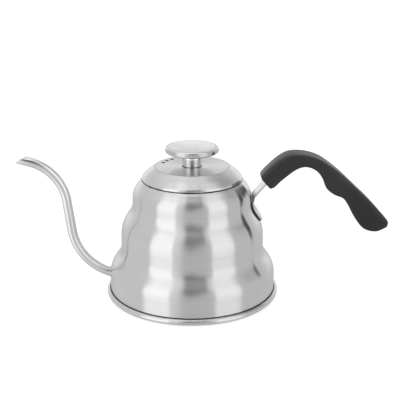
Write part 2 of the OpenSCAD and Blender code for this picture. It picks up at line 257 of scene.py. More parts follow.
def tidy_mesh(mesh: bpy.types.Mesh, crease: float) -> None:
    """Merges points that coincide, as at seams and poles, drops empty faces and shades smoothly.

    Args:
        mesh: The mesh.
        crease: Angle in degrees between faces from which an edge stays sharp.
    """
    work = bmesh.new()
    work.from_mesh(mesh)
    bmesh.ops.remove_doubles(work, verts=work.verts, dist=MERGE)
    bmesh.ops.dissolve_degenerate(work, edges=work.edges, dist=NO_LENGTH)
    work.to_mesh(mesh)
    work.free()
    mesh.shade_smooth()
    mesh.set_sharp_from_angle(angle=math.radians(crease))


def turned(name: str, line: Array, closed: bool = True) -> Piece:
    """Makes a piece from an outline turned about Z.

    Args:
        name: Name of the piece.
        line: The outline, as rows (radius, height).
        closed: Whether the outline closes on itself; if not, both of its ends lie on the axis.

    Returns:
        The piece.
    """
    return surface(name, revolved(line, SIDES), closed=closed)


def cut(piece: Piece, *cutters: Piece, crease: float = CREASE) -> Piece:
    """Cuts the cutters out of a piece and removes them.

    Args:
        piece: Piece to cut.
        cutters: Closed pieces that are taken away from it.
        crease: Angle in degrees from which an edge stays sharp.

    Returns:
        The same piece, with the cut in its mesh.
    """
    for cutter in cutters:
        tool = piece.modifiers.new("cut", "BOOLEAN")
        tool.operation = "DIFFERENCE"
        tool.solver = "EXACT"
        tool.object = cutter
    graph = bpy.context.evaluated_depsgraph_get()
    mesh = bpy.data.meshes.new_from_object(piece.evaluated_get(graph))
    piece.modifiers.clear()
    old, piece.data = piece.data, mesh
    name = old.name
    bpy.data.meshes.remove(old)
    mesh.name = name
    for cutter in cutters:
        bpy.data.meshes.remove(cutter.data)
    mesh.materials.clear()
    tidy_mesh(mesh, crease)
    return piece


def place(piece: Piece, body: BodyName, slot: Slot, finish: Material, *nodes: str) -> None:
    """Gives a piece its finish, lets it ride on a body and lets it stand for CAD nodes.

    Args:
        piece: The piece.
        body: Body that carries it.
        slot: Material slot that its finish belongs to; not used.
        finish: Its material.
        nodes: CAD nodes that it stands for.
    """
    piece.data.materials.append(finish)
    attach(piece, body.value)
    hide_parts(*nodes)
    log.info("%s stands for %s, %d faces", piece.name, ", ".join(nodes), len(piece.data.polygons))


def dress(finish: Material, *nodes: str) -> None:
    """Gives CAD nodes their finish and leaves their shapes as they are.

    Args:
        finish: The material.
        nodes: The CAD nodes that take it.
    """
    for node in nodes:
        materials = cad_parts[node].data.materials
        materials.clear()
        materials.append(finish)
        log.info("%s keeps its solid and takes %s", node, finish.name)


# ---- Node trees ----


@dataclass(frozen=True)
class Wire:
    """An output of a node and the tree it lies in; arithmetic with it adds Math nodes there."""

    tree: Tree
    socket: bpy.types.NodeSocket

    def maths(self, operation: str, *others: "Wire | float") -> "Wire":
        """Returns the result of a Math node that takes this and then the others."""
        return add_wire(self.tree, "Math", dict(enumerate((self, *others))), operation=operation)

    def __add__(self, other: "Wire | float") -> "Wire":
        """Returns the sum."""
        return self.maths("ADD", other)

    def __sub__(self, other: "Wire | float") -> "Wire":
        """Returns the difference."""
        return self.maths("SUBTRACT", other)

    def __mul__(self, other: "Wire | float") -> "Wire":
        """Returns the product."""
        return self.maths("MULTIPLY", other)

    def __truediv__(self, other: "Wire | float") -> "Wire":
        """Returns the quotient."""
        return self.maths("DIVIDE", other)

    def root(self) -> "Wire":
        """Returns the square root."""
        return self.maths("SQRT")

    def ranged(self, low: float, high: float, to_low: float, to_high: float) -> "Wire":
        """Maps this smoothly from one range onto another and holds it beyond the ends.

        Args:
            low: Value that becomes to_low.
            high: Value that becomes to_high.
            to_low: Result at low and on its far side.
            to_high: Result at high and on its far side.

        Returns:
            The mapped value.
        """
        inputs = {"Value": self, "From Min": low, "From Max": high}
        inputs |= {"To Min": to_low, "To Max": to_high}
        return add_wire(self.tree, "MapRange", inputs, "Result", interpolation_type="SMOOTHSTEP")

    def rise(self, low: float, high: float) -> "Wire":
        """Returns 0 up to low and 1 from high on, with a smooth step between."""
        return self.ranged(low, high, 0, 1)

    def fall(self, low: float, high: float) -> "Wire":
        """Returns 1 up to low and 0 from high on, with a smooth step between."""
        return self.ranged(low, high, 1, 0)

    def band(self, start: float, full: float, fading: float, end: float) -> "Wire":
        """Returns 1 from full to fading, and 0 up to start and from end on."""
        return self.rise(start, full) * self.fall(fading, end)

    def level(self, first: "Wire | float", second: "Wire | float") -> "Wire":
        """Mixes two numbers with this as the second's share and returns the result."""
        return add_wire(self.tree, "Mix", {0: self, 2: first, 3: second}, data_type="FLOAT")

    def colour(self, first: "Wire | Colour", second: "Wire | Colour") -> "Wire":
        """Mixes two colours with this as the second's share and returns the result."""
        first, second = (one if isinstance(one, Wire) else (*one, 1) for one in (first, second))
        return add_wire(self.tree, "Mix", {0: self, 6: first, 7: second}, 2, data_type="RGBA")

    def noise(self, scale: "Wire | float", detail: float, rough: float = 0.5) -> "Wire":
        """Returns the value of a noise at this vector, about 0.5 on average."""
        inputs = {"Vector": self, "Scale": scale, "Detail": detail, "Roughness": rough}
        return add_wire(self.tree, "TexNoise", inputs)

    def split(self) -> "list[Wire]":
        """Returns x, y and z of this vector."""
        node = add_node(self.tree, "SeparateXYZ", {0: self})
        return [Wire(self.tree, output) for output in node.outputs]


def feed(node: Node, inputs: dict) -> None:
    """Sets the inputs of a node.

    Args:
        node: The node.
        inputs: For each input, by name or number, the wire that feeds it or its value.
    """
    for key, value in inputs.items():
        if isinstance(value, Wire):
            value.tree.links.new(value.socket, node.inputs[key])
        else:
            node.inputs[key].default_value = value


def add_node(tree: Tree, kind: str, inputs: dict | None = None, **settings: object) -> Node:
    """Adds a node to a tree.

    Args:
        tree: Node tree of a material, a world or a group.
        kind: The node's type, without its ShaderNode prefix.
        inputs: For each input, by name or number, the wire that feeds it or its value.
        settings: Attributes of the node.

    Returns:
        The new node.
    """
    made = tree.nodes.new("ShaderNode" + kind)
    for key, value in settings.items():
        setattr(made, key, value)
    feed(made, inputs or {})
    return made


def add_wire(tree: Tree, kind: str, inputs: dict | None = None, output: int | str = 0,
             **settings: object) -> Wire:
    """Adds a node as add_node does and returns the wire from its output of this name or number."""
    return Wire(tree, add_node(tree, kind, inputs, **settings).outputs[output])


def object_place(tree: Tree) -> Wire:
    """Returns the place on the piece, in its own coordinates."""
    return add_wire(tree, "TexCoord", output="Object")


def relief_of(height: Wire, depth: float, strength: float) -> Wire:
    """Returns the normal of a surface with a relief of this depth, shown at this strength."""
    inputs = {"Strength": strength, "Distance": depth, "Height": height}
    return add_wire(height.tree, "Bump", inputs)


# ---- Shader groups ----


def open_group(name: str, inputs: dict[str, float]) -> tuple[Tree, list[Wire]]:
    """Starts a shader group.

    Args:
        name: Name of the group.
        inputs: Its inputs and their starting values.

    Returns:
        The group's tree and the wires from its inputs.
    """
    tree = bpy.data.node_groups.new(name, "ShaderNodeTree")
    for key, value in inputs.items():
        socket = tree.interface.new_socket(key, in_out="INPUT", socket_type="NodeSocketFloat")
        socket.default_value = value
    given = tree.nodes.new("NodeGroupInput")
    return tree, [Wire(tree, given.outputs[key]) for key in inputs]


def close_group(tree: Tree, outputs: dict[str, Wire]) -> Tree:
    """Gives a shader group its outputs.

    Args:
        tree: The group's tree.
        outputs: Its outputs and the wires that feed them.

    Returns:
        The same tree.
    """
    for key in outputs:
        tree.interface.new_socket(key, in_out="OUTPUT", socket_type="NodeSocketFloat")
    feed(tree.nodes.new("NodeGroupOutput"), outputs)
    return tree


def use_group(tree: Tree, group: Tree, **values: float) -> dict[str, Wire]:
    """Places a group in a material with its own values.

    Args:
        tree: The material's tree.
        group: The group.
        values: Values of its inputs; _ in a name stands for a space.

    Returns:
        The wires from its outputs, by name.
    """
    made = add_node(tree, "Group", node_tree=group)
    feed(made, {key.replace("_", " ").capitalize(): value for key, value in values.items()})
    return {output.name: Wire(tree, output) for output in made.outputs}


def turning_lines() -> Tree:
    """Builds the fine lines that polishing on a lathe leaves round the axis.

    A noise is squeezed along the outline, by height minus radius, and changes slowly round it.

    Returns:
        The group, with the outputs Lines (fine) and Bands (broad), each about 0.5 on average.
    """
    layers = (("Lines", 1.0, 3), ("Bands", 0.06, 2))    # output, share of the fineness, detail
    rough = 0.6
    tree, (fineness, drift) = open_group("turning lines", {"Fineness": 2600, "Drift": 14})
    x, y, z = object_place(tree).split()
    along_it = z - (x * x + y * y).root()
    outputs: dict[str, Wire] = {}
    for key, share, detail in layers:
        parts = {0: x * drift, 1: y * drift, 2: along_it * (fineness * share)}
        outputs[key] = add_wire(tree, "CombineXYZ", parts).noise(1, detail, rough)
    return close_group(tree, outputs)


def handling_haze() -> Tree:
    """Builds the faint uneven film and the short hairlines that handling leaves on a metal.

    A hairline is where a noise, turned and then stretched along one axis, comes over a limit.

    Returns:
        The group, with the outputs Haze (cloudy) and Hairlines (0 but for thin scratches).
    """
    ways = (((0.3, 0.9, 0.2), (1, 0.05, 1)), ((1.1, 0.2, 1.4), (0.06, 1, 1)))   # turn and stretch
    limit, rough = (0.66, 0.72), 0.55
    tree, (size, scratches) = open_group("handling haze", {"Size": 22, "Scratches": 260})
    at = object_place(tree)
    first, second = (
        add_wire(tree, "Mapping", {"Vector": at, "Rotation": turn, "Scale": stretch})
        .noise(scratches, detail=2).rise(*limit)
        for turn, stretch in ways
    )
    hairlines = first.maths("MAXIMUM", second)
    haze = at.noise(size, detail=4, rough=rough)
    return close_group(tree, {"Haze": haze, "Hairlines": hairlines})


def moulded_grain() -> Tree:
    """Builds the fine spark-eroded grain of a moulding and a slow change of its sheen.

    Returns:
        The group, with the outputs Grain (fine) and Patches (broad), each about 0.5 on average.
    """
    tree, (grain, patches) = open_group("moulded grain", {"Grain size": 2400, "Patch size": 30})
    at = object_place(tree)
    outputs = {"Grain": at.noise(grain, detail=2), "Patches": at.noise(patches, detail=3)}
    return close_group(tree, outputs)


def seam_painted_shade() -> Tree:
    """Builds the painted shade, a dark ring laid into the colour along a seam, crease or rim round
    the axis.

    The distance from the seam's circle, sqrt((r - radius)^2 + (z - height)^2), is compared with
    the shade's width, which wanders a little with a noise.

    Returns:
        The group, with one output, the share of painted shade: its share in the seam and 0 away
        from it.
    """
    wander_scale, wander = 90, (0.8, 1.2)
    rim = (0.6, 1.2)    # shares of the width between which the painted shade ends
    starting = {"Radius": 50 * MM, "Height": 50 * MM, "Width": 0.6 * MM, "Share": 1}
    tree, (radius, height, width, share) = open_group("seam film", starting)
    at = object_place(tree)
    x, y, z = at.split()
    aside, over = (x * x + y * y).root() - radius, z - height
    distance = (aside * aside + over * over).root()
    wandering = width * at.noise(wander_scale, detail=2).ranged(*NOISE_SPAN, *wander)
    return close_group(tree, {"Film": (distance / wandering).fall(*rim) * share})


@dataclass(frozen=True)
class Groups:
    """The shader groups that the finishes share."""

    lines: Tree
    haze: Tree
    grain: Tree
    film: Tree


# ---- Finishes ----


@dataclass(frozen=True)
class Seam:
    """A round seam, crease or rim with painted shade in it: its circle, the shade's width and its
    share.
    """

    radius: float
    height: float
    width: float
    share: float


# Rings of painted shade: each darkens a metal's colour along a seam, crease or rim where shade
# falls.
FOOT_SEAM = Seam(69.2 * MM, 5.6 * MM, 0.7 * MM, 0.85)       # at the body's foot
LID_SEAM = Seam(41.2 * MM, 99.6 * MM, 0.6 * MM, 1)          # under the lid's edge
CREASE_SEAM = Seam(30.3 * MM, 110.1 * MM, 0.6 * MM, 0.25)   # along the edge of the lid's flat top
POST_SEAM = Seam(7.8 * MM, 110.1 * MM, 0.6 * MM, 1)         # round the foot of the knob's post
RIM_SEAM = Seam(21.9 * MM, 124.3 * MM, 1.6 * MM, 0.2)       # round the rim of the knob's disc
FACE_SEAM = Seam(19.7 * MM, 126.5 * MM, 0.6 * MM, 0.3)      # round the face of the knob's disc


@dataclass(frozen=True)
class Finish:
    """A finish: its material's name, and what feeds the material's Principled BSDF."""

    name: str

    def inputs(self, tree: Tree, groups: Groups) -> dict:
        """Works out what feeds the shader; each kind of finish has its own way.

        Args:
            tree: The material's tree.
            groups: The shader groups.

        Returns:
            For each input of the shader, the wire that feeds it or its value.
        """
        raise NotImplementedError

    def material(self, groups: Groups) -> Material:
        """Builds the material.

        Args:
            groups: The shader groups.

        Returns:
            The material.
        """
        material = bpy.data.materials.new(self.name)
        material.use_nodes = True
        tree = material.node_tree
        feed(tree.nodes["Principled BSDF"], self.inputs(tree, groups))
        return material


@dataclass(frozen=True)
class Metal(Finish):
    """A metal's finish: its clean colours and roughness, and the seams where shade is painted into
    its colour.
    """

    light: Colour = (0.74, 0.74, 0.74)
    dark: Colour = (0.68, 0.68, 0.68)
    smooth: float = 0.07
    rough: float = 0.15
    seams: tuple[Seam, ...] = ()
    # colour of the painted shade in the seams
    film: Colour = (0.05, 0.05, 0.048)

    def with_seams(self, groups: Groups, colour: Wire) -> Wire:
        """Lays the painted shade of the seams over a colour.

        Args:
            groups: The shader groups.
            colour: Colour of the clean surface.

        Returns:
            The colour with painted shade in its seams.
        """
        for seam in self.seams:
            film = use_group(colour.tree, groups.film, **vars(seam))["Film"]
            colour = film.colour(colour, self.film)
        return colour


@dataclass(frozen=True)
class BrushedSteel(Metal):
    """Stainless steel off the lathe, which mirrors sharply round the axis and softly across it."""

    light: Colour = (0.71, 0.71, 0.71)
    dark: Colour = (0.66, 0.66, 0.66)
    smooth: float = 0.215
    rough: float = 0.24
    stretch: float = 1
    across: float = 0.25
    fineness: float = 1300
    drift: float = 4
    fine_share: float = 0.6
    wear_share: float = 0.3
    relief: float = 0.0006 * MM
    relief_strength: float = 0.1

    def inputs(self, tree: Tree, groups: Groups) -> dict:
        """Works out what feeds the shader: the turning lines set its colour, roughness and relief.

        Args:
            tree: The material's tree.
            groups: The shader groups.

        Returns:
            For each input of the shader, the wire that feeds it or its value.
        """
        lines = use_group(tree, groups.lines, fineness=self.fineness, drift=self.drift)
        haze = use_group(tree, groups.haze)["Haze"]
        mask = lines["Lines"] * self.fine_share + lines["Bands"] * (1 - self.fine_share)
        worn = mask * (1 - self.wear_share) + haze * self.wear_share
        colour = mask.rise(*NOISE_SPAN).colour(self.dark, self.light)
        return {
            "Base Color": self.with_seams(groups, colour),
            "Roughness": worn.ranged(*NOISE_SPAN, self.smooth, self.rough),
            "Normal": relief_of(lines["Lines"], self.relief, self.relief_strength),
            "Tangent": add_wire(tree, "Tangent", direction_type="RADIAL", axis="Z"),
            "Metallic": 1,
            "Anisotropic": self.stretch,
            "Anisotropic Rotation": self.across,
        }


@dataclass(frozen=True)
class PolishedSteel(Metal):
    """Stainless steel buffed bright, with a faint film and hairlines."""

    cloud_size: float = 40
    scratch_depth: float = 0.06
    # colour of the painted shade laid on edges that the edge attribute marks, or None
    edge: Colour | None = None

    def inputs(self, tree: Tree, groups: Groups) -> dict:
        """Works out what feeds the shader; the edge attribute lays on the edge's colour, a painted
        shade, if any.

        Args:
            tree: The material's tree.
            groups: The shader groups.

        Returns:
            For each input of the shader, the wire that feeds it or its value.
        """
        haze = use_group(tree, groups.haze, size=self.cloud_size)
        clouds = haze["Haze"]
        colour = self.with_seams(groups, clouds.rise(*HAZE_SPAN).colour(self.light, self.dark))
        if self.edge:
            # painted shade on the marked edges
            mark = add_wire(tree, "Attribute", output="Fac", attribute_name=SHADED_EDGE)
            colour = mark.colour(colour, self.edge)
        rough = clouds.ranged(*HAZE_SPAN, self.smooth, self.rough)
        scratched = rough + haze["Hairlines"] * self.scratch_depth
        return {"Base Color": colour, "Roughness": scratched, "Metallic": 1}


@dataclass(frozen=True)
class MachinedBrass(Metal):
    """Brass as it comes off the lathe."""

    light: Colour = (0.72, 0.56, 0.28)
    dark: Colour = (0.60, 0.45, 0.22)
    smooth: float = 0.22
    rough: float = 0.38
    cloud_size: float = 300

    def inputs(self, tree: Tree, groups: Groups) -> dict:
        """Works out what feeds the shader.

        Args:
            tree: The material's tree.
            groups: The shader groups.

        Returns:
            For each input of the shader, the wire that feeds it or its value.
        """
        haze = use_group(tree, groups.haze, size=self.cloud_size)["Haze"]
        rough = haze.ranged(*NOISE_SPAN, self.smooth, self.rough)
        return {"Base Color": haze.colour(self.light, self.dark), "Roughness": rough, "Metallic": 1}


@dataclass(frozen=True)
class MouldedPlastic(Finish):
    """Black plastic from a grained mould, with a paler painted sheen towards its front and paler
    random patches.
    """

    base: Colour = (0.005, 0.005, 0.0052)
    # paler colour of the painted sheen and of the random patches
    worn: Colour = (0.019, 0.019, 0.0195)
    # span along X over which the painted sheen fades out, and its share
    hand: Span = (120 * MM, 136 * MM)
    hand_share: float = 0.75
    smooth: float = 0.36
    rough: float = 0.44
    relief: float = 0.05 * MM
    relief_strength: float = 0.25

    def inputs(self, tree: Tree, groups: Groups) -> dict:
        """Works out what feeds the shader: a paler painted sheen fades out along X, and random
        patches add to it.

        Args:
            tree: The material's tree.
            groups: The shader groups.

        Returns:
            For each input of the shader, the wire that feeds it or its value.
        """
        grain = use_group(tree, groups.grain)
        patches = grain["Patches"]
        x = object_place(tree).split()[0]
        patchy = patches.ranged(*NOISE_SPAN, 0, 1 - self.hand_share)
        # painted sheen: paler towards the front, fading out along X, plus random patches
        worn = x.ranged(*self.hand, self.hand_share, 0) + patchy
        return {
            "Base Color": worn.colour(self.base, self.worn),
            "Roughness": patches.ranged(*NOISE_SPAN, self.smooth, self.rough),
            "Normal": relief_of(grain["Grain"], self.relief, self.relief_strength),
        }


@dataclass(frozen=True)
class Silicone(Finish):
    """Soft grey silicone rubber."""

    light: Colour = (0.55, 0.56, 0.56)
    dark: Colour = (0.47, 0.48, 0.48)
    smooth: float = 0.5
    rough: float = 0.65
    grain_size: float = 1200

    def inputs(self, tree: Tree, groups: Groups) -> dict:
        """Works out what feeds the shader.

        Args:
            tree: The material's tree.
            groups: The shader groups.

        Returns:
            For each input of the shader, the wire that feeds it or its value.
        """
        grain = use_group(tree, groups.grain, grain_size=self.grain_size)
        rough = grain["Grain"].ranged(*NOISE_SPAN, self.smooth, self.rough)
        return {"Base Color": grain["Patches"].colour(self.light, self.dark), "Roughness": rough}


def grey(level: float) -> Colour:
    """Returns a neutral grey."""
    return (level, level, level)


class Look(Enum):
    """The finishes of the kettle."""

    # The seams of BODY, POST and DISC are rings of painted shade.
    BODY = BrushedSteel("brushed steel", seams=(FOOT_SEAM, LID_SEAM, CREASE_SEAM, POST_SEAM))
    SCREWS = PolishedSteel("polished steel")
    # edge colour: painted shade on the strap's foot, tip and bend
    STRAP = PolishedSteel("strap steel", smooth=0.12, rough=0.2, edge=(0.06, 0.06, 0.058))
    SPOUT = PolishedSteel("drawn tube", grey(0.80), grey(0.75), smooth=0.11, rough=0.17)
    WELD = PolishedSteel("dressed weld", grey(0.64), grey(0.54), smooth=0.25, rough=0.38)
    POST = PolishedSteel("mirror steel", grey(0.88), grey(0.84), smooth=0.04, rough=0.08,
                         seams=(POST_SEAM,))
    DISC = PolishedSteel("buffed steel", grey(0.82), grey(0.70), smooth=0.14, rough=0.19,
                         seams=(RIM_SEAM, FACE_SEAM))
    # the grip's paler front is a painted sheen, laid on in MouldedPlastic
    GRIP = MouldedPlastic("moulded black plastic")
    INSERT = MachinedBrass("machined brass")
    SEAL = Silicone("grey silicone")


Palette = dict[Look, Material]


def build_palette() -> Palette:
    """Builds every shader group and every material once and returns the materials."""
    groups = Groups(turning_lines(), handling_haze(), moulded_grain(), seam_painted_shade())
    return {look: look.value.material(groups) for look in Look}


# ---- Body and base ----


@dataclass
class Vessel:
    """The three-tiered body and the base that is rolled round its foot."""

    sheet: float = 0.8 * MM
    tiers: tuple[float, float, float] = (69 * MM, 59.2 * MM, 49.1 * MM)
    shoulders: Span = (24.9 * MM, 61.2 * MM)
    valleys: Span = (38.5 * MM, 75.3 * MM)
    shoulder_bends: Span = (20 * MM, 31.5 * MM)
    valley_bend: float = 17 * MM
    crown: tuple[Corner, ...] = (
        (49.1 * MM, 88.6 * MM, 16 * MM),
        (46.0 * MM, 93.5 * MM, 20 * MM),
        (43.0 * MM, 97.4 * MM, 6 * MM),
    )
    mouth_radius: float = 41.3 * MM
    mouth_height: float = 99.3 * MM
    throat_radius: float = 38 * MM
    collar: float = 7 * MM
    foot_width: float = 0.8 * MM
    foot_height: float = 1.5 * MM
    outer_lip: float = 0.4 * MM
    inner_lip: float = 1.2 * MM
    foot_bend: float = 0.3 * MM
    roll: float = 2.5 * MM
    roll_radius: float = 69.4 * MM
    roll_start: float = 69.3 * MM
    step: float = 0.6 * MM
    floor_radius: float = 66.4 * MM
    groove: float = 0.35 * MM
    roll_rows: int = 40
    edge_rows: int = 8

    def tier_corners(self) -> list[Corner]:
        """Works out the corners of the tiers' outline.

        Returns:
            The corners, from the lowest wall to the top shoulder.
        """
        low, middle, top = self.tiers
        return [
            (low, self.shoulders[0], self.shoulder_bends[0]),
            (middle, self.valleys[0], self.valley_bend),
            (middle, self.shoulders[1], self.shoulder_bends[1]),
            (top, self.valleys[1], self.valley_bend),
            *self.crown,
        ]

    def outside(self) -> Array:
        """Works out the outside of the body.

        Returns:
            The outline, from the flange at the body's foot to the collar in its mouth.
        """
        foot = self.foot_height + self.sheet
        return outline([
            (self.tiers[0] + self.foot_width, foot, 0),
            (self.tiers[0], foot, self.foot_bend),
            *self.tier_corners(),
            (self.mouth_radius, self.mouth_height, self.outer_lip),
            (self.throat_radius, self.mouth_height, self.inner_lip),
            (self.throat_radius, self.mouth_height - self.collar, 0),
        ])

    def wall(self) -> Piece:
        """Builds the body's sheet: its outside and the same line moved inwards, turned about Z."""
        return turned("body_sheet", sheet_outline(self.outside(), self.sheet))

    def base(self) -> Piece:
        """Builds the base: a flat disc that steps up to a rim rolled round the body's foot.

        The roll's outside is an arc of its radius about a point just outside the wall, its inside
        is the same line moved in by the sheet, and a small half circle joins them at the free edge.

        Returns:
            The piece.
        """
        centre = np.array([self.roll_radius, self.step + self.roll])
        end = np.pi / 2 - self.groove / self.roll
        rise = np.linspace(-np.pi / 2, end, self.roll_rows)
        floor = outline([
            (0, 0, 0),
            (self.floor_radius, 0, self.step),
            (self.floor_radius + 2 * self.step, self.step, self.step),
            (self.roll_start, self.step, 0),
        ])
        outer = np.vstack([floor, centre + self.roll * np.stack([np.cos(rise), np.sin(rise)], -1)])
        inner = beside(outer, self.sheet)
        inner[0, 0] = 0
        middle = self.roll - self.sheet / 2
        turn = np.linspace(0, np.pi, self.edge_rows)[1:-1, None]
        radial = np.array([np.cos(end), np.sin(end)])
        onward = np.array([-np.sin(end), np.cos(end)])
        half_circle = np.cos(turn) * radial + np.sin(turn) * onward
        edge = centre + middle * radial + self.sheet / 2 * half_circle
        return turned("rolled_base", np.vstack([outer, edge, inner[::-1]]), closed=False)

    def build(self, palette: Palette, spout_hole: Piece) -> None:
        """Builds the body and the base and dresses them.

        Args:
            palette: The materials.
            spout_hole: Cutter of the spout's hole.
        """
        wall = cut(self.wall(), spout_hole)
        place(wall, BodyName.KETTLE, Slot.SATIN, palette[Look.BODY], "body_shell")
        place(self.base(), BodyName.KETTLE, Slot.SATIN, palette[Look.BODY], "base_plate")


# ---- Spout ----


def along(rise: Array | float) -> Array:
    """Returns the heading in the XZ plane with this rise in radians; a rise of 0 points to -X."""
    return np.stack([-np.cos(rise), 0 * np.asarray(rise), np.sin(rise)], axis=-1)


def above(rise: Array | float) -> Array:
    """Returns the direction square to a heading, on its upper side."""
    return np.stack([np.sin(rise), 0 * np.asarray(rise), np.cos(rise)], axis=-1)


@dataclass
class Spout:
    """The bent tube and the weld round its root."""

    radius: float = 4 * MM
    bore: float = 3.4 * MM
    root_height: float = 16.2 * MM
    root_rise: float = math.radians(18)
    root_in: float = 3 * MM
    lower_bend: float = 46 * MM
    neck_rise: float = math.radians(83)
    neck: float = 26 * MM
    upper_bend: float = 39 * MM
    tip_rise: float = math.radians(16)
    tip: float = 8 * MM
    mouth_angle: float = math.radians(45)
    hole_gap: float = 0.05 * MM
    weld: float = 0.75 * MM
    ripples: int = 30
    ripple: float = 0.05
    sides: int = 64
    bend_rows: int = 56
    lip_rows: int = 9
    weld_rows: int = 96
    weld_sides: int = 20

    def root(self, wall_radius: float) -> Array:
        """Returns the point of the tube's centre line on the body's wall."""
        return np.array([-wall_radius, 0, self.root_height])

    def centre_line(self, wall_radius: float) -> tuple[Array, Array]:
        """Works out the tube's centre line from inside the body to its last stretch.

        Two arcs are joined by straight stretches. A point of the lower arc lies below its centre
        and a point of the upper arc above its centre, each by the bend's radius.

        Args:
            wall_radius: Radius of the body's wall at the root.

        Returns:
            The points and the rise at each of them.
        """
        lower = np.linspace(self.root_rise, self.neck_rise, self.bend_rows)
        upper = np.linspace(self.neck_rise, self.tip_rise, self.bend_rows)
        lower_centre = self.root(wall_radius) + self.lower_bend * above(self.root_rise)
        low_arc = lower_centre - self.lower_bend * above(lower)
        upper_start = low_arc[-1] + self.neck * along(self.neck_rise)
        upper_centre = upper_start - self.upper_bend * above(self.neck_rise)
        high_arc = upper_centre + self.upper_bend * above(upper)
        inside = self.root(wall_radius) - self.root_in * along(self.root_rise)
        rises = np.concatenate([[self.root_rise], lower, upper])
        return np.vstack([inside, low_arc, high_arc]), rises

    def ring(self, centre: Array, rise: Array, radius: Array | float) -> Array:
        """Works out circles of points about centres, each square to the heading at its centre.

        Args:
            centre: The centres, one row each.
            rise: The heading's rise at each centre.
            radius: Radius of the circles, one for all or one each.

        Returns:
            The points, as circles by sides by 3.
        """
        angle = turns(self.sides)
        side = np.cos(angle)[:, None] * np.array([0, 1, 0])
        up = np.sin(angle)[:, None] * above(rise)[..., None, :]
        return centre[..., None, :] + np.asarray(radius)[..., None, None] * (side + up)

    def tube(self, wall_radius: float) -> Piece:
        """Builds the tube, with a round lip at its slanted mouth.

        Rings run along the centre line outside, over the lip and back inside. The lip's rings lie
        on the mouth's plane: each of their points slides along the tip's heading until its height
        over that plane is that of a small half circle across the tube's wall.

        Args:
            wall_radius: Radius of the body's wall at the root.

        Returns:
            The piece.
        """
        centres, rises = self.centre_line(wall_radius)
        heading = along(self.tip_rise)
        mouth = centres[-1] + self.tip * heading
        normal = along(self.tip_rise + np.pi / 2 - self.mouth_angle)
        turn = np.linspace(0, np.pi, self.lip_rows)
        half = (self.radius - self.bore) / 2
        lip_radius = self.bore + half + half * np.cos(turn)
        lip_rise = np.full(self.lip_rows, self.tip_rise)
        lip = self.ring(np.repeat(centres[-1:], self.lip_rows, 0), lip_rise, lip_radius)
        slide = ((mouth - lip) @ normal) / (heading @ normal)
        lip = lip + (slide + half * (np.sin(turn) - 1)[:, None])[..., None] * heading
        outer = self.ring(centres, rises, self.radius)
        inner = self.ring(centres, rises, self.bore)
        return surface("spout_pipe", np.concatenate([outer, lip, inner[::-1]]), closed=True)

    def hole(self, wall_radius: float) -> Piece:
        """Builds the cutter of the root's hole in the body: a straight round bar along the root.

        Args:
            wall_radius: Radius of the body's wall at the root.

        Returns:
            The cutter.
        """
        reach = 2 * self.radius * np.array([-1, 1])
        centres = self.root(wall_radius) + reach[:, None] * along(self.root_rise)
        rings = self.ring(centres, np.full(2, self.root_rise), self.radius + self.hole_gap)
        return surface("hole_cutter", capped(rings))

    def weld_bead(self, wall_radius: float) -> Piece:
        """Builds the weld: a thin ring along the curve where the tube's outside meets the wall.

        A line on the tube's outside, x = x0 - t cos(rise), meets the wall where x squared plus y
        squared is the wall's radius squared, which gives t for every angle round the tube. The
        bead's section is a circle in the plane of the tube's radius and its heading, and its size
        ripples as a weld's does.

        Args:
            wall_radius: Radius of the body's wall at the root.

        Returns:
            The piece.
        """
        around = turns(self.weld_rows)
        side, up = np.array([0, 1, 0]), above(self.root_rise)
        outwards = np.cos(around)[:, None] * side + np.sin(around)[:, None] * up
        start = self.root(wall_radius) + self.radius * outwards
        run_on = start[:, 0] + np.sqrt(wall_radius**2 - start[:, 1] ** 2)
        seam = start + run_on[:, None] / math.cos(self.root_rise) * along(self.root_rise)
        turn = turns(self.weld_sides)[None, :, None]
        size = (self.weld * (1 + self.ripple * np.sin(self.ripples * around)))[:, None, None]
        section = np.cos(turn) * outwards[:, None] + np.sin(turn) * along(self.root_rise)
        return surface("root_weld", seam[:, None] + size * section, closed=True)

    def build(self, palette: Palette, wall_radius: float) -> None:
        """Builds the tube and its weld and dresses them.

        Args:
            palette: The materials.
            wall_radius: Radius of the body's wall at the root.
        """
        tube, weld = self.tube(wall_radius), self.weld_bead(wall_radius)
        place(tube, BodyName.KETTLE, Slot.POLISHED, palette[Look.SPOUT], "spout_tube")
        place(weld, BodyName.KETTLE, Slot.POLISHED, palette[Look.WELD], "spout_weld")


# ---- Handle ----


# Sections of the grip from front to tail, in millimetres. Each gives the upper edge's distance
# along the tang and its height over it, the same two of the lower edge, the ridge's height over
# the upper edge, and the crown.
GRIP_SECTIONS = (
    (-2.5, 5.4, -4.2, -4.6, 0.3, 1.6),
    (-0.3, 7.7, -2.9, -7.3, 1.2, 4.6),
    (11.8, 7.0, 6.5, -8.3, 1.3, 4.7),
    (19.8, 5.2, 14.8, -9.7, 1.4, 4.1),
    (26.5, 2.0, 20.6, -11.0, 1.6, 3.5),
    (32.6, -4.1, 25.8, -13.5, 1.3, 2.6),
    (37.7, -12.2, 29.2, -17.5, 0.8, 1.8),
    (40.9, -21.1, 30.8, -23.6, 0.5, 1.4),
    (42.0, -30.0, 30.1, -29.5, 0.4, 1.3),
    (42.3, -38.0, 27.8, -35.5, 0.4, 1.3),
    (42.1, -46.0, 24.7, -41.6, 0.4, 1.3),
    (41.6, -54.3, 24.8, -49.4, 0.4, 1.3),
    (41.1, -62.6, 27.1, -57.0, 0.4, 1.3),
    (40.8, -70.6, 25.6, -64.4, 0.2, 1.2),
    (40.0, -80.0, 22.2, -72.8, 0.0, 1.2),
    (38.7, -89.0, 19.9, -80.0, 0.0, 1.2),
    (37.5, -97.0, 18.6, -87.4, 0.0, 1.2),
    (36.6, -100.4, 20.3, -93.6, 0.0, 1.0),
    (32.9, -102.9, 24.0, -99.0, 0.0, 0.6),
)


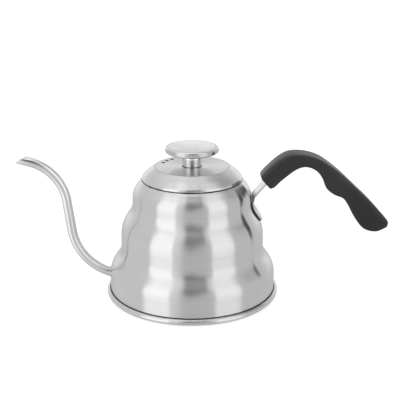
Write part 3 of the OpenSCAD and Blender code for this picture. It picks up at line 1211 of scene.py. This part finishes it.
@dataclass
class Handle:
    """The strap on the body, its tang, and the moulded grip with its screw."""

    width: float = 16 * MM
    thickness: float = 1.8 * MM
    edge: float = 0.4 * MM
    low: float = 63 * MM
    stand_off: float = 0.35 * MM
    nose: float = 1.4 * MM
    touching: float = 8 * MM
    bend_height: float = 84.3 * MM
    bend_radius: float = 3 * MM
    strap_crease: float = 50                    # degrees, as CREASE
    hugging: Span = (79.3 * MM, 83.3 * MM)      # heights over which the section straightens
    inner_side: float = -0.3                    # sine below which a point is on the inner side
    edge_fade: float = 4 * MM                   # height over the bend where the painted shade of the edge attribute ends
    tip_fade: Span = (0.3 * MM, 0.7 * MM)       # lengths between which the tip's painted shade fades out
    bend_film: Span = (0.55, 1.8 * MM)          # share and half height of the painted shade round the bend
    rise: float = math.radians(50)
    bare: float = 19.2 * MM
    inside: float = 24 * MM
    gap: float = 0.05 * MM
    slot_gap: float = 0.15 * MM
    slot_reach: float = 10 * MM
    screw_in: float = 10 * MM
    seat: float = -4.65 * MM
    bore_ends: Span = (-30 * MM, 5.75 * MM)
    head_radius: float = 3.9 * MM
    shank_radius: float = 2.2 * MM
    grip_width: float = 20 * MM
    tail_width: float = 13 * MM
    narrowing: Span = (6, 14)                   # sections between which it narrows to its tail
    front_share: float = 0.75
    squareness: float = 4.5
    crown_share: float = 0.36
    ridge_drop: float = 0.31
    front_corner: Span = (0.6 * MM, 2.5 * MM)   # depth and length of the corner under the front
    corner_end: int = 4                         # section at which that corner counts no more
    soft_rows: Span = (7, 10)                   # sections over which the tail's rounding comes in
    soft_steps: tuple[int, int] = (2, 12)       # times that all rows and the tail's are averaged
    domes: Span = (0.4 * MM, 0.8 * MM)          # height of the domes at the front and at the tail
    grip_crease: float = 50                     # degrees, as CREASE
    line_rows: tuple[int, int] = (600, 260)     # points of the strap's line, at first and at last
    flat_points: int = 17
    edge_points: int = 6
    end_rows: int = 16
    middle_rows: int = 150
    arch_points: int = 24
    side_points: int = 5
    under_points: int = 38
    dome_rows: int = 7
    bore_sides: int = 48

    def lying_x(self, vessel: Vessel) -> float:
        """Returns x of the middle of a strap that lies on the top tier."""
        return vessel.tiers[2] + self.gap + self.thickness / 2

    def strap_middle(self, vessel: Vessel) -> Array:
        """Works out the middle line of the strap in the XZ plane.

        Only its foot touches the body: over the touching length the strap eases away from the
        wall to its stand-off, by 3t^2 - 2t^3, and it bends into the tang's line further out.

        Args:
            vessel: The body that the strap lies on.

        Returns:
            The line, from the strap's lower end to the tang's end.
        """
        tiers = outline([
            (vessel.tiers[1], vessel.valleys[0], 0),
            *vessel.tier_corners()[2:4],
            (vessel.tiers[2], vessel.crown[0][1], 0),
        ])
        fine = even(beside(tiers, -self.gap - self.thickness / 2), self.line_rows[0])
        start = self.bend_height - self.bend_radius
        foot = fine[(fine[:, 1] > self.low) & (fine[:, 1] < start)]
        foot[:, 0] += self.stand_off * eased(foot[:, 1], self.low, self.low + self.touching)
        x, z = self.lying_x(vessel), self.bend_height
        reach = self.bare + self.inside
        tang = outline([
            (x + self.stand_off, start, 0),
            (x + self.stand_off, z + self.stand_off * math.tan(self.rise), self.bend_radius),
            (x + reach * math.cos(self.rise), z + reach * math.sin(self.rise), 0),
        ])
        return even(np.vstack([foot, tang]), self.line_rows[1])

    def strap(self, vessel: Vessel) -> Piece:
        """Builds the strap: a rounded bar carried along its middle line.

        Its half width grows as the root of 1 - (1 - s / half)^2 over the first half width, and its
        thickness in the same way over the nose, which rounds the lower end. On the tiers a point
        at the distance y from the middle moves in to the radius of its row, x = sqrt(r^2 - y^2),
        and this fades out before the bend. The edge attribute paints shade: it is 1 on the foot's
        inner side, in the gap to the wall, and at its tip, fades out on the tang, and paints a
        darker band round the bend, whose share falls as exp(-(z / half height)^2).

        Args:
            vessel: The body that the strap lies on.

        Returns:
            The piece.
        """
        line = self.strap_middle(vessel)
        height, length = line[:, 1:], run(line)[:, None]
        ahead = headings(line)
        out = np.stack([ahead[:, 1], -ahead[:, 0]], axis=-1)
        reach = self.width / 2 * rounded(length, self.width / 2)
        corner = np.minimum(self.edge, reach)
        flat = np.linspace(-1, 1, self.flat_points)
        half_turn = np.linspace(0, np.pi, self.edge_points)
        level, side = np.full_like(flat, np.pi / 2), np.ones_like(half_turn)
        across = np.concatenate([flat, side, -flat, -side])
        swing = np.concatenate([level, np.pi / 2 - half_turn, -level, -np.pi / 2 - half_turn])
        y = across * (reach - corner) + np.cos(swing) * corner
        over = np.sign(np.sin(swing)) * (self.thickness / 2 - self.edge) + np.sin(swing) * self.edge
        over = over * rounded(length, self.nose)
        x = line[:, :1] + over * out[:, :1]
        hug = 1 - eased(height, *self.hugging)
        x = x - hug * (x - np.sqrt(np.maximum(x**2 - y**2, 0)))
        grid = np.stack([x, y, height + over * out[:, 1:]], axis=-1)
        fade = 1 - progress(height, self.bend_height, self.bend_height + self.edge_fade)
        tip = 1 - progress(length, *self.tip_fade)
        share, half = self.bend_film
        bent = share * np.exp(-((height - self.bend_height) / half) ** 2)
        # painted shade on the foot's inner side and tip, and round the bend
        film = np.maximum(np.maximum(fade * (np.sin(swing) < self.inner_side), tip), bent)
        film = np.vstack([film[:1], film, film[-1:]])
        return surface("steel_strap", capped(grid), crease=self.strap_crease, edge=film)

    def tang_point(self, vessel: Vessel, distance: Array, height: Array, y: Array) -> Array:
        """Works out points given from the tang.

        Args:
            vessel: The body that the tang starts from.
            distance: Distance along the tang from the grip's front.
            height: Height over the tang's middle line.
            y: Distance across it.

        Returns:
            The points, with x, y and z along the last axis.
        """
        cos, sin = math.cos(self.rise), math.sin(self.rise)
        distance = distance + self.bare
        return np.stack([
            self.lying_x(vessel) + distance * cos - height * sin,
            y + 0 * distance,
            self.bend_height + distance * sin + height * cos,
        ], axis=-1)

    def grip_rows(self) -> tuple[Array, Array, Array]:
        """Works out the grip's section values, width and place among the sections at each row.

        A Catmull-Rom curve runs through the sections: between b and c, with neighbours a and d, it
        is b + (c - a) t / 2 + (2a - 5b + 4c - d) t^2 / 2 + (3b - a - 3c + d) t^3 / 2. The width
        eases by 3t^2 - 2t^3 from the grip's to the tail's, and closes in by a root over the first
        section and by a quarter ellipse over the last two.

        The corner under the front is rounded off: a point at the distance d behind it rises by
        the corner's depth times (1 - d / length)^2.

        Returns:
            The section values, one row each, the widths and the places.
        """
        table = np.array(GRIP_SECTIONS) * MM
        last = len(table) - 1
        near = np.linspace(0, 1, self.end_rows, endpoint=False) ** 2
        u = np.concatenate([near, np.linspace(1, last - 1, self.middle_rows), last - near[::-1]])
        i = np.minimum(u.astype(int), last - 1)
        t = (u - i)[:, None]
        a, b, c, d = (table[np.clip(i + k, 0, last)] for k in (-1, 0, 1, 2))
        square, cube = 2 * a - 5 * b + 4 * c - d, 3 * b - a - 3 * c + d
        rows = b + (c - a) * t / 2 + square * t**2 / 2 + cube * t**3 / 2
        width = self.grip_width + (self.tail_width - self.grip_width) * eased(u, *self.narrowing)
        front = self.front_share + (1 - self.front_share) * np.sqrt(np.minimum(u, 1))
        tail = (1 + np.sqrt(1 - progress(u, last - 2, last) ** 2)) / 2
        depth, length = self.front_corner
        behind = np.clip(np.minimum(u, 1) - np.maximum(rows[:, 2] - table[1, 2], 0) / length, 0, 1)
        rows[:, 3] += depth * behind**2 * (u < self.corner_end)
        return rows, width * np.minimum(front, tail), u

    def grip(self, vessel: Vessel) -> Piece:
        """Builds the grip from sections with a flat top, straight sides and a squarish underside.

        The top is a low arch, the crown times 1 - s^4 across the half width s, over the crease. The
        sides run straight down to the section's middle, and a half superellipse, |cos|^(2/n)
        across and |sin|^(2/n) down, closes it. Each point is then averaged a few times with its
        neighbours in the section, which rounds the crease, and more often towards the tail.
        Both ends close in a low dome.

        Args:
            vessel: The body that the tang starts from.

        Returns:
            The piece.
        """
        rows, width, place_of = self.grip_rows()
        top, low = rows[:, None, 0:2], rows[:, None, 2:4]
        crown = self.crown_share * rows[:, None, 5:6]
        ridge = rows[:, None, 4:5] - self.ridge_drop * rows[:, None, 5:6]
        up = unit(top - low)
        middle = (top + low) / 2
        crease = top + (ridge - crown) * up
        s = np.linspace(1, -1, self.arch_points, endpoint=False)
        fall = np.linspace(0, 1, self.side_points, endpoint=False)
        swing = np.linspace(np.pi, 2 * np.pi, self.under_points, endpoint=False)
        power = 2 / self.squareness
        arch = crease + crown * (1 - s**4)[:, None] * up
        left = crease + fall[:, None] * (middle - crease)
        under = middle + (np.abs(np.sin(swing)) ** power)[:, None] * (low - middle)
        right = middle + fall[:, None] * (crease - middle)
        flat = np.concatenate([arch, left, under, right], axis=1)
        side, bottom = np.ones_like(fall), np.sign(np.cos(swing)) * np.abs(np.cos(swing)) ** power
        across = np.concatenate([s, -side, bottom, side])
        points = np.concatenate([flat, (across * width[:, None] / 2)[..., None]], axis=-1)
        everywhere, steps = self.soft_steps
        towards_tail = progress(place_of, *self.soft_rows)[:, None, None]
        for step in range(steps):
            softer = (np.roll(points, 1, 1) + 2 * points + np.roll(points, -1, 1)) / 4
            points += (1 if step < everywhere else towards_tail) * (softer - points)
        turn = np.linspace(0, np.pi / 2, self.dome_rows, endpoint=False)[:, None, None]
        ends: list[Array] = []
        for ring, inner, rise in zip(points[[0, -1]], points[[1, -2]], self.domes):
            centre = ring.mean(axis=0)
            out = unit(centre - inner.mean(axis=0))
            ends.append(centre + np.sin(turn) * (ring - centre) + rise * np.cos(turn) * out)
        points = np.concatenate([ends[0], points, ends[1][::-1]])
        along_it, over, y = np.moveaxis(points, -1, 0)
        return surface("grip_moulding", self.tang_point(vessel, along_it, over, y))

    def slot_cutter(self, vessel: Vessel) -> Piece:
        """Builds the cutter of the tang's slot: a flat box carried along the tang.

        Args:
            vessel: The body that the tang starts from.

        Returns:
            The cutter.
        """
        x = np.array([[-self.slot_reach], [self.inside + self.slot_gap]])
        y = (self.width / 2 + self.slot_gap) * np.array([-1, 1, 1, -1])
        z = (self.thickness / 2 + self.slot_gap) * np.array([-1, -1, 1, 1])
        rings = self.tang_point(vessel, x + 0 * y, z + 0 * x, y + 0 * x)
        return surface("slot_cutter", capped(rings))

    def bore_cutter(self, vessel: Vessel) -> Piece:
        """Builds the cutter of the screw's counterbore and shank, turned about the screw's axis.

        Args:
            vessel: The body that the tang starts from.

        Returns:
            The cutter.
        """
        low, top = self.bore_ends
        line = np.array([
            [0, low], [self.head_radius, low], [self.head_radius, self.seat],
            [self.shank_radius, self.seat], [self.shank_radius, top], [0, top],
        ])
        along_it, y, over = np.moveaxis(revolved(line, self.bore_sides), -1, 0)
        return surface("bore_cutter", self.tang_point(vessel, self.screw_in + along_it, over, y))

    def build(self, palette: Palette, vessel: Vessel) -> None:
        """Builds the strap and the grip, and dresses them and the small hardware inside.

        Args:
            palette: The materials.
            vessel: The body that carries the handle.
        """
        strap = self.strap(vessel)
        grip = self.grip(vessel)
        cut(grip, self.slot_cutter(vessel), self.bore_cutter(vessel), crease=self.grip_crease)
        place(strap, BodyName.KETTLE, Slot.POLISHED, palette[Look.STRAP], "handle_strap")
        place(grip, BodyName.KETTLE, Slot.GRIP, palette[Look.GRIP], "handle_grip")
        dress(palette[Look.INSERT], "grip_insert")
        dress(palette[Look.SCREWS], "grip_lock_washer", "grip_screw")


# ---- Lid and knob ----


@dataclass
class Lid:
    """The lid's sheet with its vents, the skirt inside it and the seal."""

    sheet: float = 0.8 * MM
    radius: float = 41.3 * MM
    edge_height: float = 99.6 * MM
    lift: float = 0.3 * MM
    top_height: float = 110.1 * MM
    top_radius: float = 30.7 * MM
    swell: float = 0.6 * MM
    brim: float = 1.75 * MM
    top_bend: float = 1.2 * MM
    flank_bend: float = 20 * MM
    edge_bend: float = 3.2 * MM
    hole_radius: float = 2.2 * MM
    skirt_radius: float = 37.6 * MM
    skirt: float = 14 * MM
    flange_gap: float = 0.3 * MM
    vent_radius: float = 1.6 * MM
    vent_lip: float = 0.08 * MM
    vent_reach: Span = (3 * MM, 1 * MM)     # reach of a vent's cutter below and above the lid's top
    vent_pitch: float = 25.3 * MM
    vent_turns: tuple[float, ...] = (131.7, 145.6, 159.5)
    vent_sides: int = 40

    def outside(self) -> Array:
        """Works out the outside of the lid.

        Returns:
            The outline, from the lid's edge over a slightly swollen flank to its middle.
        """
        edge = np.array([self.radius, self.edge_height + self.brim])
        crease = np.array([self.top_radius, self.top_height])
        slope = unit(crease - edge)
        middle = (edge + crease) / 2 + self.swell * np.array([slope[1], -slope[0]])
        return outline([
            (self.radius, self.edge_height + self.lift, 0),
            (*edge, self.edge_bend),
            (*middle, self.flank_bend),
            (*crease, self.top_bend),
            (self.hole_radius, self.top_height, 0),
        ])

    def vent_cutter(self, turn: float) -> Piece:
        """Builds the cutter of one vent: a bar on the pitch circle, wider below as a punching is.

        Args:
            turn: The vent's angle round the lid, in degrees.

        Returns:
            The cutter.
        """
        below, over = self.vent_reach
        low, high = self.top_height - below, self.top_height + over
        wide, narrow = 2 * self.vent_radius, self.vent_radius
        line = np.array([
            [0, low], [wide, low], [wide, self.top_height - self.sheet],
            [narrow, self.top_height - self.vent_lip], [narrow, high], [0, high],
        ])
        way = math.radians(turn)
        centre = self.vent_pitch * np.array([math.cos(way), math.sin(way), 0])
        return surface("vent_cutter", centre + revolved(line, self.vent_sides))

    def skirt_piece(self) -> Piece:
        """Builds the skirt: an angled ring that hangs in the mouth.

        Returns:
            The piece.
        """
        line = outline([
            (self.radius - self.sheet - self.flange_gap, self.edge_height, 0),
            (self.skirt_radius, self.edge_height, self.flange_gap),
            (self.skirt_radius, self.edge_height - self.skirt, 0),
        ])
        return turned("lid_guide", sheet_outline(line, -self.sheet))

    def build(self, palette: Palette) -> None:
        """Builds the lid's sheet and skirt, and dresses them and the seal.

        Args:
            palette: The materials.
        """
        shell = turned("lid_sheet", sheet_outline(self.outside(), self.sheet))
        cut(shell, *(self.vent_cutter(turn) for turn in self.vent_turns))
        place(shell, BodyName.LID, Slot.SATIN, palette[Look.BODY], "lid_shell")
        place(self.skirt_piece(), BodyName.LID, Slot.SATIN, palette[Look.BODY], "lid_skirt")
        dress(palette[Look.SEAL], "lid_seal")


@dataclass
class Knob:
    """The knob: a post, a hollow disc with a plate under it, and the screw from inside the lid."""

    foot: float = 110.1 * MM
    height: float = 11.4 * MM
    post_radius: float = 7.8 * MM
    spigot_radius: float = 3.9 * MM
    thread_radius: float = 2.05 * MM
    thread: float = 9 * MM
    radius: float = 21.9 * MM
    disc: float = 5.3 * MM
    bend: float = 1.8 * MM
    turn_under: float = 3 * MM
    sheet: float = 1 * MM
    gap: float = 0.05 * MM
    chamfer: float = 0.25 * MM
    neck: float = 0.5 * MM
    dome: float = 0.35 * MM
    dome_rows: int = 24

    def post(self) -> Piece:
        """Builds the post: a narrow neck at its foot, its polished side, its spigot and blind hole.

        Returns:
            The piece.
        """
        top = self.foot + self.height
        return turned("knob_stem", outline([
            (self.thread_radius, self.foot, 0),
            (self.post_radius - self.neck, self.foot, 0),
            (self.post_radius - self.neck, self.foot + self.neck, 0),
            (self.post_radius, self.foot + self.neck, self.chamfer),
            (self.post_radius, top, self.chamfer),
            (self.spigot_radius, top, 0),
            (self.spigot_radius, top + self.sheet, 0),
            (0, top + self.sheet, 0),
            (0, self.foot + self.thread, 0),
            (self.thread_radius, self.foot + self.thread, 0),
        ]))

    def plate(self) -> Piece:
        """Builds the flat ring that closes the disc from below.

        Returns:
            The piece.
        """
        low = self.foot + self.height
        high = low + self.sheet
        outer, inner = self.radius - self.turn_under - self.gap, self.spigot_radius + self.gap
        line = np.array([[inner, low], [outer, low], [outer, high], [inner, high]])
        return turned("knob_floor", line)

    def cap(self) -> Piece:
        """Builds the disc's sheet, from its turned-under edge round the rim to its middle.

        The top rises inside the rim by the dome times 1 - (r / R)^2.

        Returns:
            The piece.
        """
        low = self.foot + self.height
        high = low + self.disc - self.dome
        flat = self.radius - self.bend
        rim = outline([
            (self.radius - self.turn_under, low, 0),
            (self.radius, low, self.bend),
            (self.radius, high, self.bend),
            (flat, high, 0),
        ])
        r = np.linspace(flat, 0, self.dome_rows)[1:]
        top = np.stack([r, high + self.dome * (1 - (r / flat) ** 2)], axis=-1)
        line = np.vstack([rim[:-1], top])
        inside = beside(line, self.sheet)
        inside[-1, 0] = 0
        return turned("knob_disc", np.vstack([line, inside[::-1]]))

    def build(self, palette: Palette) -> None:
        """Builds the post, plate and disc, and dresses them and the screw.

        Args:
            palette: The materials.
        """
        place(self.post(), BodyName.LID, Slot.POLISHED, palette[Look.POST], "knob_post")
        place(self.plate(), BodyName.LID, Slot.POLISHED, palette[Look.DISC], "knob_underplate")
        place(self.cap(), BodyName.LID, Slot.POLISHED, palette[Look.DISC], "knob_cap")
        dress(palette[Look.SCREWS], "knob_lock_washer", "knob_screw")


# ---- Studio ----


@dataclass(frozen=True)
class Window:
    """One soft window: where it starts and ends across and fades out upwards, and its levels."""

    across: Band                    # turns between which it comes and goes
    tail: float                     # share of the light that trails off inwards
    high: float                     # level above the horizon
    low: float                      # level in the pale floor below
    tail_length: float = 22
    up: Span = (0.68, 0.82)         # heights over which it ends
    horizon: Span = (-0.3, 0.1)     # heights over which its levels meet


@dataclass
class Studio:
    """A pale floor under a pale room with two soft windows, a soft lamp overhead and the camera.

    A turn is an angle in degrees from the camera's side towards +X, and a height is the vertical
    part of a direction, from -1 to 1.
    """

    camera_place: tuple[float, float, float] = (0.00654, -0.68193, 0.3089)
    camera_down: float = 18.52
    lens: float = 78.31
    sensor: float = 36
    clip: Span = (0.01, 50)
    floor_half: float = 4
    floor_drop: float = 0.02 * MM
    floor_colour: float = 0.6
    floor_glow: float = 0.6
    lamp_height: float = 1.4
    lamp_size: float = 1.2
    lamp_power: float = 5
    windows: tuple[Window, Window] = (
        Window((29, 32.2, 67.4, 70.6), 0.2, 1.42, 1.24),
        Window((29.8, 34.6, 66.5, 73.5), 0, 1.22, 1.05),
    )
    side_light: Span = (0.77, 0.69)         # at the spout's side and at the grip's
    sides: Span = (-0.4, 0.4)
    front_light: float = 0.64               # on the camera's side
    front_turns: Band = (-26, -10, 22, 34)
    back_light: float = 0.78
    back: Span = (0.5, 0.88)
    horizon_light: float = 1.02             # low behind the kettle
    horizon: Span = (0.08, 0.45)
    under_light: float = 0.62               # below the horizon behind the kettle
    under: Span = (-0.2, 0)
    top_light: float = 0.92
    top: Span = (0.5, 0.85)
    crest_light: float = 1.6                # a narrow strip high up, which the top shoulder shows
    crest_turns: Band = (-75, -60, 20, 35)
    crest_heights: Band = (0.87, 0.90, 0.94, 0.97)
    dim_light: float = 0.42                 # a dim patch behind the grip
    dim_way: tuple[float, float, float] = (0.62, 0.20, 0.76)
    dim_near: Span = (0.86, 0.985)
    dim_turns: Span = (84, 94)
    floor_light: float = 0.62
    floor_heights: Span = (-0.8, -0.5)
    hood_light: float = 0.18                # the camera's dark hood, a broad V below, flat on top
    hood_turns: Band = (-20, -8, 22, 29)
    hood_heights: Band = (-0.05, 0.38, 0.845, 0.88)
    hood_middle: float = -2                 # turn of the V's point
    hood_slope: float = 0.012               # height for each degree

    def camera(self) -> None:
        """Sets up the camera."""
        data = bpy.data.cameras.new("camera")
        data.lens, data.sensor_width = self.lens, self.sensor
        data.clip_start, data.clip_end = self.clip
        camera = bpy.data.objects.new("camera", data)
        camera.location = self.camera_place
        camera.rotation_euler = (math.radians(90 - self.camera_down), 0, 0)
        bpy.context.collection.objects.link(camera)
        bpy.context.scene.camera = camera

    def lamp(self) -> None:
        """Adds the soft lamp overhead."""
        data = bpy.data.lights.new("soft_lamp", "AREA")
        data.size = self.lamp_size
        data.energy = self.lamp_power
        lamp = bpy.data.objects.new("soft_lamp", data)
        lamp.location = (0, 0, self.lamp_height)
        lamp.visible_camera = lamp.visible_glossy = False
        bpy.context.collection.objects.link(lamp)

    def floor(self) -> None:
        """Adds the floor: the camera sees it and the kettle's shadow on it.

        Everything else sees the room's own pale lower half in its place.
        """
        half, low = self.floor_half, -self.floor_drop
        corners = [(-half, -half, low), (half, -half, low), (half, half, low), (-half, half, low)]
        mesh = bpy.data.meshes.new("floor")
        mesh.from_pydata(corners, [], [(0, 1, 2, 3)])
        floor = bpy.data.objects.new("floor", mesh)
        bpy.context.collection.objects.link(floor)
        floor.visible_glossy = floor.visible_diffuse = False
        floor.visible_transmission = floor.visible_shadow = False
        material = bpy.data.materials.new("pale floor")
        material.use_nodes = True
        tree = material.node_tree
        seen = add_wire(tree, "LightPath", output="Is Camera Ray")
        feed(tree.nodes["Principled BSDF"], {
            "Base Color": (*grey(self.floor_colour), 1),
            "Roughness": 1,
            "Specular IOR Level": 0,
            "Emission Color": (1, 1, 1, 1),
            "Emission Strength": seen * self.floor_glow,
        })
        mesh.materials.append(material)

    @staticmethod
    def with_window(room: Wire, turn: Wire, height: Wire, pane: Window) -> Wire:
        """Lays one soft window over the room's level.

        Args:
            room: The room's level.
            turn: Angle in degrees from the camera's side, growing towards the window.
            height: Height of the direction.
            pane: The window.

        Returns:
            The level with the window in it.
        """
        start, full, fading, end = pane.across
        first = (start + full) / 2
        tail = turn.ranged(first - pane.tail_length, first, 0, pane.tail)
        across = turn.rise(start, full).maths("MAXIMUM", tail) * turn.fall(fading, end)
        level = height.ranged(*pane.horizon, pane.low, pane.high)
        return (across * height.fall(*pane.up)).level(room, level)

    def room(self, x: Wire, y: Wire, z: Wire) -> Wire:
        """Works out the room's level for a direction, from back to front.

        The levels of the back, the sides, the top and the front run into each other. Over them lie
        the windows, the crest, the dim patch, the floor and the hood, whose lower limit rises by
        its slope for each degree from its middle.

        Args:
            x: The direction's part along X.
            y: Its part along Y.
            z: Its part along Z.

        Returns:
            The level.
        """
        turn = x.maths("ARCTAN2", y * -1) * (180 / math.pi)
        low = z.fall(*self.top)
        behind = z.rise(*self.under).level(
            self.under_light, z.ranged(*self.horizon, self.horizon_light, self.back_light))
        sides = y.rise(*self.back).level(x.ranged(*self.sides, *self.side_light), behind)
        upper = low.level(self.top_light, sides)
        room = (turn.band(*self.front_turns) * low).level(upper, self.front_light)
        for way, pane in zip((-1, 1), self.windows):
            room = self.with_window(room, turn * way, z, pane)
        crest = z.band(*self.crest_heights) * turn.band(*self.crest_turns)
        room = crest.level(room, self.crest_light)
        near = x * self.dim_way[0] + y * self.dim_way[1] + z * self.dim_way[2]
        room = (near.rise(*self.dim_near) * turn.rise(*self.dim_turns)).level(room, self.dim_light)
        room = z.rise(*self.floor_heights).level(self.floor_light, room)
        raised = z - (turn - self.hood_middle).maths("ABSOLUTE") * self.hood_slope
        start, full, fading, end = self.hood_heights
        hood = turn.band(*self.hood_turns) * (raised.rise(start, full) * z.fall(fading, end))
        return hood.level(room, self.hood_light)

    def sky(self) -> None:
        """Builds the world: white to the camera, and the room to all else."""
        world = bpy.data.worlds.new("room")
        bpy.context.scene.world = world
        world.use_nodes = True
        tree = world.node_tree
        room = self.room(*add_wire(tree, "TexCoord", output="Generated").split())
        strength = add_wire(tree, "LightPath", output="Is Camera Ray").level(room, 1.0)
        feed(tree.nodes["Background"], {"Strength": strength, "Color": (1, 1, 1, 1)})

    def build(self) -> None:
        """Builds the whole studio."""
        self.camera()
        self.lamp()
        self.floor()
        self.sky()
        bpy.context.scene.view_settings.view_transform = "Standard"


# ---- Making ----


def main() -> None:
    """Builds the studio and every sub-assembly, in order."""
    logging.basicConfig(level=logging.INFO, format="%(name)s: %(message)s")
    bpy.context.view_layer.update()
    Studio().build()
    palette = build_palette()
    vessel, spout = Vessel(), Spout()
    vessel.build(palette, spout.hole(vessel.tiers[0]))
    spout.build(palette, vessel.tiers[0])
    Handle().build(palette, vessel)
    Lid().build(palette)
    Knob().build(palette)


if __name__ == "__main__":
    main()
